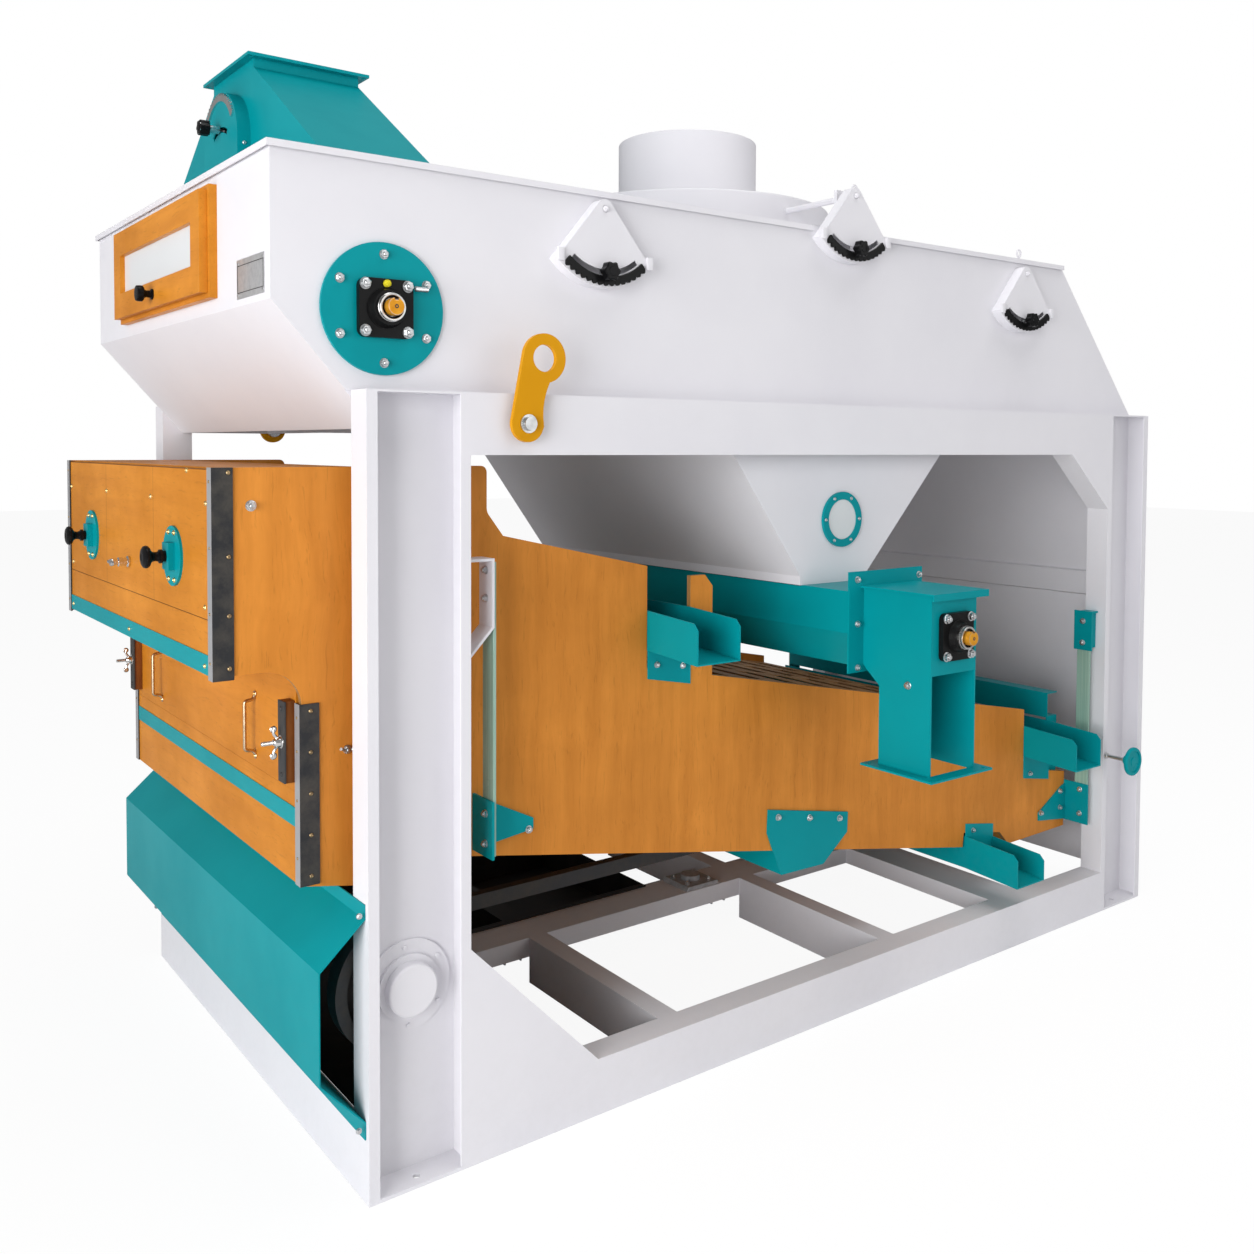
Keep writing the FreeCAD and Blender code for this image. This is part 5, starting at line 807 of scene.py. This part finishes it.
shaft_end("feed_roll_drive_end", roll_x, roll_z, 2.0, front, "roll")
shaft_end("feed_roll_idle_end", roll_x, roll_z, rear(2.0), back, "roll")
shaft_end("screw_drive_end", screw_x, screw_z, -401.0, front, "screw")
race("feed_front_race", roll_x, 32.0, roll_z, front, 13.0)
race("feed_rear_race", roll_x, rear(32.0), roll_z, back, 13.0)
race("conveyor_front_race", screw_x, -371.0, screw_z, front, 15.0)
race("conveyor_rear_race", screw_x, 1544.0, screw_z, back, 8.0)

mesh = bmesh.new()
for y, direction in ((unit_face, front), (rear(unit_face), back)):
    spin_outline(mesh, [(0, -1), (8.5, -1), (8.5, 6), (7.0, 9), (3.5, 10.5), (0, 11)],
                 stand((roll_x, y, roll_z + 54), direction), 18)
piece("grease_plugs", mesh, "plug_yellow", "frame")

mesh = bmesh.new()
for y in (43.0, rear(43.0)):
    spin_outline(mesh, [(0, 0), *thread(5.6, 6.6, 1.0, 2.6, 0.9), (4.5, 33), (0, 33)],
                 stand((roll_x + 64, y, roll_z + 47), right), 16)
piece("feed_adjusting_studs", mesh, "zinc_plate", "frame")
print("shaft ends done")

# %% [markdown]
# Plates and brackets all round the frame are bolted too. Each place is read off the machine itself: the
# spout's flange, the side of the spout, the hangers and feet of the leaf springs, the drive bracket, the
# chute plates, and the boat's own side.

# %% More bolts
spout_plate = [(1437, -96, 1306, front), (1439, -96, 1181, front), (1441, -96, 1057, front),
               (1700, -96, 1306, front), (1683, -96, 1181, front), (1681, -96, 1057, front)]
bolt_group("spout_flange_bolts", "frame", spout_plate, 0.85)
bolt_group("spout_side_bolts", "frame", [(1465, -259, 1030, left), (1655, -259, 1030, right)], 0.95)

spring_y, plate_y, chute_y = 65, 124, 126
on_both_sides = [
    ("left_hanger_bolts", "frame", 0.9, [(331, spring_y, z, left) for z in (1385, 1318)]),
    ("right_hanger_bolts", "frame", 0.9, [(2806, spring_y, z, left) for z in (1055, 977)]),
    ("spring_foot_bolts", "boat", 0.85,
     [(331, spring_y, 802, left), (331, spring_y, 729, left), (488, plate_y, 718, front),
      (352, plate_y, 806, front), (352, plate_y, 716, front), (2806, spring_y, 440, left),
      (2806, spring_y, 352, left), (2656, plate_y, 366, front), (2772, plate_y, 426, front),
      (2772, plate_y, 366, front)]),
    ("drive_bracket_bolts", "boat", 0.85,
     [(x, plate_y, z, front) for x, z in ((1350, 590), (1480, 565), (1610, 540))]),
    ("chute_plate_bolts", "boat", 0.75,
     [(x, chute_y, z, front) for x, z in ((895, 1090), (985, 1078), (2590, 520), (2270, 376))]),
    ("boat_side_bolts", "boat", 1.05, [(-207, 130, 1548, front)]),
]
for name, body, scale, places in on_both_sides:
    bolt_group(name, body, both_sides(places), scale)
cover_screws = ring(127.5, 69, 437, 92, (35, 95, 155, 215, 270, 325))
bolt_group("bearing_cover_screws", "frame", both_sides(cover_screws), 0.55,
           "white_coat", stud=False)
hood_screws = [(-15, 15, 650, front), (-18, 15, 172, front)]
bolt_group("hood_screws", "frame", both_sides(hood_screws), 0.6, stud=False)
casting_bolts = [(x, y, 157, top) for y in (762, 842) for x in (1537, 1633)]
bolt_group("rail_casting_bolts", "frame", casting_bolts, 0.85)
print("bolt groups done")

# %% [markdown]
# The air valves are set by hand. Each white sector box carries a black toothed strip below a slot, a knob
# that comes through the slot, and a nut on the pivot. The knob is a star grip: a flat boss with small
# lobes, which the hand turns to lock the lever in a notch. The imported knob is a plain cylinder, so the
# star grip is laid closely round it and rides on the valve.

# %% Sector fittings
sector_pivots = {"left_valve": (657.0, 2268.0), "throttle": (1561.0, 2416.0), "right_valve": (2399.0, 2264.0)}
sector_face = 39.0
grip_reach = 157.0
arc_end_reach, arc_end_angle = 184.0, math.radians(47.5)


def star_grip(mesh, place, direction, radius, depth, lobes=6):
    seat = stand(place, direction)
    outline = []
    for k in range(lobes * 8):
        a = 2 * math.pi * k / (lobes * 8)
        r = radius * (1.0 + 0.10 * math.cos(lobes * a))
        outline.append((r * math.cos(a), r * math.sin(a)))
    push_outline(mesh, outline, 0.0, depth, seat, 2.2)
    boss = [(0, depth - 1), (radius * 0.55, depth - 1), (radius * 0.5, depth + 1.6), (0, depth + 2.2)]
    spin_outline(mesh, boss, seat, 20)


def toothed_band(mesh, seat, inner, outer, half_degrees, teeth, thickness, tooth_height):
    """Part of a flat ring whose outer edge is a row of round teeth."""
    steps = teeth * 6
    layers = []
    for height in (0.0, thickness):
        rows = ([], [])
        for k in range(steps + 1):
            a = math.radians(half_degrees * (2 * k / steps - 1))
            swell = tooth_height * abs(math.sin(math.pi * teeth * k / steps))
            for row, r in zip(rows, (outer + swell, inner)):
                row.append(mesh.verts.new(seat @ Vector((math.sin(a) * r, math.cos(a) * r, height))))
        layers.append(rows)
    (low_out, low_in), (high_out, high_in) = layers
    for k in range(steps):
        for one, two in ((high_out, high_in), (low_in, low_out), (low_out, high_out), (high_in, low_in)):
            mesh.faces.new((one[k], one[k + 1], two[k + 1], two[k]))
    for k in (0, steps):
        mesh.faces.new((low_out[k], high_out[k], high_in[k], low_in[k]))


for body, (x, z) in sector_pivots.items():
    mesh = bmesh.new()
    toothed_band(mesh, stand((x, sector_face, z), front, 180.0), 167.0, 182.0, 41.0, 15, 7.5, 9.0)
    piece(body + "_toothed_arc", mesh, "black_lacquer", "frame", ["toothed_arcs"])
    mesh = bmesh.new()
    star_grip(mesh, (x, 27.0, z - grip_reach), front, 22.5, 22.5)
    piece(body + "_star_grip", mesh, "black_plastic", body)
    mesh = bmesh.new()
    nut_and_stud(mesh, (x, sector_face, z), front, 0.72)
    piece(body + "_pivot_nut", mesh, "white_coat", "frame")
    mesh = bmesh.new()
    for side in (-1, 1):
        end_x = x + side * arc_end_reach * math.sin(arc_end_angle)
        end_z = z - arc_end_reach * math.cos(arc_end_angle)
        block(mesh, (end_x - 9, 30, end_z - 16), (end_x + 9, 40, end_z + 16), 2.0)
    piece(body + "_arc_ends", mesh, "white_coat", "frame")
eye_stem_foot = 2315
for name, x, y, z in (("throttle_eye", 1600, 82, 2447), ("right_valve_eye", 2411, 82, 2338)):
    mesh = bmesh.new()
    angles = [2 * math.pi * k / 20 for k in range(20)]
    sweep_wire(mesh, [(x + 10 * math.cos(a), y, z + 12 * math.sin(a)) for a in angles], 3.2, closed=True)
    sweep_wire(mesh, [(x, y, z - 11), (x, y, eye_stem_foot)], 3.6)
    piece(name, mesh, "white_coat", "frame")
print("sector fittings done")

# %% [markdown]
# On the left end sits a small bare plate: a thin brushed sheet with a fine dark border line, held by four
# rivets. The inlet's quadrant has a bright toothed arc around the top of
# its arch, where the divider's knob is set, and small screws along its side.

# %% Bare plate and quadrant arc
mesh = bmesh.new()
block(mesh, (-182.6, 107, 2001), (-180.5, 280, 2088), 0.5)
piece("bare_plate", mesh, "satin_sheet", "frame")
mesh = bmesh.new()
for y, z in ((116, 2010), (271, 2010), (116, 2079), (271, 2079)):
    spin_outline(mesh, [(0, -0.5), (3.2, -0.5), (2.6, 1.2), (0, 1.9)], stand((-182.6, y, z), left), 14)
piece("plate_rivets", mesh, "zinc_plate", "frame")
mesh = bmesh.new()
for low, high in (((112, 2014), (275, 2015.5)), ((112, 2073.5), (275, 2075)),
                  ((112, 2014), (113.5, 2075)), ((273.5, 2014), (275, 2075))):
    block(mesh, (-183.0, low[0], low[1]), (-182.4, high[0], high[1]), 0.0)
piece("plate_border", mesh, "black_lacquer", "frame")

arch_z = 2470.0
mesh = bmesh.new()
toothed_band(mesh, stand((-46, machine_width / 2, arch_z), left), 110.0, 123.0, 62.0, 20, 6.0, 8.0)
piece("quadrant_toothed_arc", mesh, "chrome_plate", "frame")
side_screws = [(-28, 673, 2452, front), (-28, 673, 2400, front)]
screw_group("quadrant_side_screws", "frame", both_sides(side_screws), 1.1, finish="zinc_plate")
mesh = bmesh.new()
star_grip(mesh, (-77.0, 806, 2507), left, 19.0, 26.0)
piece("divider_star_grip", mesh, "black_plastic", "divider")
print("quadrant arc teeth: 20")

# %% [markdown]
# The upper door carries two teal discs. A turned black mushroom knob in each pulls the door tight. These
# knobs replace the plain packed ones. A mushroom knob is a typical spun outline: a slim neck, a waist and
# a domed cap with a rolled edge.

# %% Door knobs
disc_front, disc_rear, disc_z = 408.0, 1186.0, 1424.0
knob_outline = [(0, -2), (12.5, -2), (12.5, 6), (16.0, 7), (16.0, 13), (12.0, 15), (10.5, 20), (11.0, 27),
                (15.0, 32), (21.5, 34.5), (25.0, 38), (26.0, 42.5), (24.5, 47), (19.5, 50.2), (11.0, 51.4),
                (8.0, 51.2), (7.0, 50.4), (0, 50.2)]
for side, y in (("front", disc_front), ("rear", disc_rear)):
    mesh = bmesh.new()
    seat = stand((-308.5, y, disc_z), left)
    spin_outline(mesh, knob_outline, seat, 40)
    spin_outline(mesh, [(0, -35), (7.8, -35), (7.8, -1), (0, -1)], seat, 20)
    replaced = side + "_clamp_knob"
    piece("turned_" + replaced, mesh, "black_plastic", side + "_knob", [replaced])
disc_screws = [(-294, y, z, left) for disc_y in (disc_front, disc_rear)
               for y, _, z, _ in ring(disc_y, 0, disc_z, 58, (68, 112, 248, 292))]
screw_group("clamp_disc_screws", "top_door", disc_screws, 1.3)

latch_x, latch_z, latch_bar = -288.5, 1380, -332
mesh = bmesh.new()
latch_outline = [(0, -14), (7.8, -14), (7.8, 0), (13.5, 0), (14.5, 1.5), (14.5, 5), (12.5, 6.5), (10.0, 8),
                 (10.0, 17), (12.0, 18), (12.0, 27), (10.5, 28.5), (8.0, 29), (8.0, 38), (9.5, 39), (9.8, 44),
                 (8.5, 47), (4.0, 48.5), (0, 48.8)]
spin_outline(mesh, latch_outline, stand((latch_x, 797, latch_z), left), 28)
sweep_wire(mesh, [(latch_bar, 772, latch_z), (latch_bar, 822, latch_z)], 3.6, 12)
for y in (772, 822):
    spin_outline(mesh, [(0, -4.5), (3.2, -3.6), (4.8, 0), (3.2, 3.6), (0, 4.5)],
                 stand((latch_bar, y, latch_z), back), 14)
piece("turned_latch", mesh, "chrome_plate", "latch", ["door_latch"])
print("knob outline points:", len(knob_outline))

# %% [markdown]
# The lower door has two pulls bent from bronze-coloured wire with flattened, screwed eyelet feet, and two
# clamps: a dark wooden batten faced with a thin steel strip, pressed on by a chrome wing nut. They replace
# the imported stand-ins. The wire is swept along a line whose corners are rounded first.

# %% Lower door fittings
lower_face = -100.0
handle_z = 1008.0
mesh = bmesh.new()
feet = []
for y in (414.0, 1198.0):
    low, high = handle_z - 62, handle_z + 62
    line = [(lower_face - 2.2, y, low - 8), (lower_face - 6, y, low), (lower_face - 27, y, low + 3),
            (lower_face - 27, y, high - 3), (lower_face - 6, y, high), (lower_face - 2.2, y, high + 8)]
    sweep_wire(mesh, bend(line, 7.0), 4.3, 12)
    for z, s in ((low - 13, -1), (high + 13, 1)):
        seat = stand((lower_face, y, z), left)
        spin_outline(mesh, [(0, -0.4), (7.2, -0.4), (7.4, 2.2), (6.4, 3.4), (0, 3.4)], seat, 18)
        feet.append((lower_face - 3.2, y, z, left))
piece("wire_pulls", mesh, "bronze_wire", "low_door", ["door_handles"])
screw_group("wire_pull_screws", "low_door", feet, 0.8)

clamp_z = 1018
battens, strips, nuts = bmesh.new(), bmesh.new(), bmesh.new()
for y in (178.0, 1434.0):
    block(battens, (lower_face - 22, y - 17, 926), (lower_face, y + 17, 1110), 1.5)
    block(strips, (lower_face - 26, y - 20, 926.5), (lower_face - 22, y + 20, 1109.5), 1.0)
    for z in (944, 1092):
        round_screw(strips, (lower_face - 26, y, z), left, 1.1)
    seat = stand((lower_face - 26, y, clamp_z), left)
    for outline, steps in (
            ([(0, -1), (15, -1), (15, 1.4), (14, 2.2), (0, 2.2)], 24),
            ([(0, 2), (11.5, 2), (12.0, 6), (9.5, 12), (8.0, 16.5), (6.5, 18), (0, 18)], 24),
            ([(0, 18), *thread(4.3, 5.2, 18.5, 2.2, 0.8), (3.6, 45), (0, 45.5)], 14)):
        spin_outline(nuts, outline, seat, steps)
    for s in (-1, 1):
        wing = [(lower_face - 34 - 5 * math.sin(math.pi * t) - 8 * t, y, clamp_z + s * (8 + 25 * t))
                for t in [k / 12 for k in range(13)]]
        sweep_wire(nuts, wing, 3.4, 10)
        spin_outline(nuts, [(0, -2.6), (5.5, -2.6), (8.0, 0), (5.5, 2.6), (0, 2.6)],
                     stand((lower_face - 43.5, y, clamp_z + s * 30), back), 20)
piece("clamp_battens", battens, "batten_wood", "low_door", ["clamp_bars"])
piece("clamp_strips", strips, "mill_steel", "low_door", ["clamp_bars"])
piece("clamp_wing_nuts", nuts, "chrome_plate", "low_door", ["clamp_bars"])

side_face, nut_x, nut_z = 129.6, 9, 991
mesh = bmesh.new()
for y, direction in ((side_face, front), (rear(side_face), back)):
    nut_and_stud(mesh, (nut_x, y, nut_z), direction, 0.9)
    for s in (-1, 1):
        wing = [(nut_x + s * out, y + direction.y * away, nut_z + up)
                for out, away, up in ((8, 8, 0), (15, 13, 4), (22, 17, 7))]
        sweep_wire(mesh, wing, 3.6, 10)
piece("side_wing_nuts", mesh, "zinc_plate", "boat")
print("pulls: 2, clamps: 2")

# %% [markdown]
# Under the drive lies a shallow black sheet as painted shade: it covers the pale floor inside the drive hood,
# where the machine's shadow lies. It rests on the top edge of the end panel and runs between the posts, clear
# of the flywheels above it. It is shaped as one folded sheet: a flat bottom with a short rim at the back.

# %% Painted shade under the drive
pan_bottom, pan_rim, pan_sheet = 185.5, 225.0, 2.0
pan_left, pan_right, pan_side = 4.0, 330.0, 88.0
mesh = bmesh.new()
for near, far, low, high in ((pan_left, pan_right, pan_bottom, pan_bottom + pan_sheet),
                             (pan_right - pan_sheet, pan_right, pan_bottom + pan_sheet, pan_rim)):
    block(mesh, (near, pan_side, low), (far, rear(pan_side), high), 0.4)
# This near-black sheet is painted shade inside the drive hood, not a part of the machine.
piece("drive_shade_sheet", mesh, "black_tray_and_shade_sheet", "frame")
print("pan depth:", pan_rim - pan_bottom)

# %% [markdown]
# The plywood is held by many small screws: bright brass ones in the door and the painted strips, dull old
# ones through the corner angles. Zinc-plated screws hold the ring of the sight glass.

# %% Small screws
door_screws = [(-288, y, 1553, left) for y in (1444, 1023, 595, 173)]
door_screws += [(-288, 305, 1621, left), (-288, 1430, 1330, left), (-288, 183, 1330, left)]
screw_group("upper_door_screws", "top_door", door_screws, 1.25)
strip_screws = [(-290, 183, 1204, left), (-290, 800, 1207, left), (-290, 1430, 1204, left)]
screw_group("strip_screws", "boat", strip_screws, 1.1)
angle_screws = [(-256, 126, z, front) for z in (1619, 1441, 1315, 1203)]
angle_screws += [(-78, 126, z, front) for z in (1090, 998, 905, 812, 720)]
screw_group("angle_screws", "boat", both_sides(angle_screws), 1.0, finish="old_brass")
edge_screws = [(-292, 141, z, left) for z in (1600, 1460, 1320, 1215)]
edge_screws += [(-104, 141, z, left) for z in (1075, 1000, 890, 760)]
screw_group("angle_edge_screws", "boat", both_sides(edge_screws), 0.7, finish="old_brass")
sight_screws = ring(1582, 97, 1462, 72, range(0, 360, 60))
screw_group("sight_glass_screws", "frame", sight_screws, 1.1, finish="zinc_plate")
bolt_group("rear_hood_bracket_bolts", "frame", [(90, 1590, 1650, left)], 0.8)
print("small screws done")

# %% [markdown]
# The boat hangs on four upright leaf springs, clamped to the frame at the top and to the boat at the foot.
# When the boat shakes they bend. The imported springs are stiff solids, so each is made again here as a
# strip cut into many short lengths.

# %% Leaf springs
strip_rim = [(0.6, 0), (7.4, 0), (8, 0.6), (8, 49.4), (7.4, 50), (0.6, 50), (0, 49.4), (0, 0.6)]
lengths = 36
for hand, x, low, high, foot, clamp in (("left", 337, 702, 1405, 835, 1250),
                                        ("right", 2812, 322, 1086, 462, 950)):
    for side, y in (("front", 40), ("rear", 1522)):
        mesh = bmesh.new()
        heights = [low + (high - low) * k / lengths for k in range(lengths + 1)]
        skin(mesh, [[mesh.verts.new(at(x + dx, y + dy, z)) for dx, dy in strip_rim] for z in heights])
        strip = mesh_object(f"{side}_{hand}_spring", mesh, "glass_fibre_strip")
        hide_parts("leaf_springs")
        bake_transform(strip)
        print("spring:", strip.name)

# %% [markdown]
# The sash of the inspection window lifts by a small black knob on its lower rail. Its outline is spun like
# the door knobs, but with a foot that sits flat on the wood.

# %% Window knob
mesh = bmesh.new()
window_knob = [(0, -0.5), (14, -0.5), (14, 3), (9.5, 6), (9.0, 16), (12, 21), (18, 23.2), (20.5, 26),
               (20.8, 33), (19.9, 38.5), (19.4, 40.3), (14, 41.3), (6, 41.6), (0, 41.2)]
spin_outline(mesh, window_knob, stand((-219.5, 818, 2064.5), left), 32)
piece("window_knob", mesh, "black_plastic", "sash")
print("window knob done")
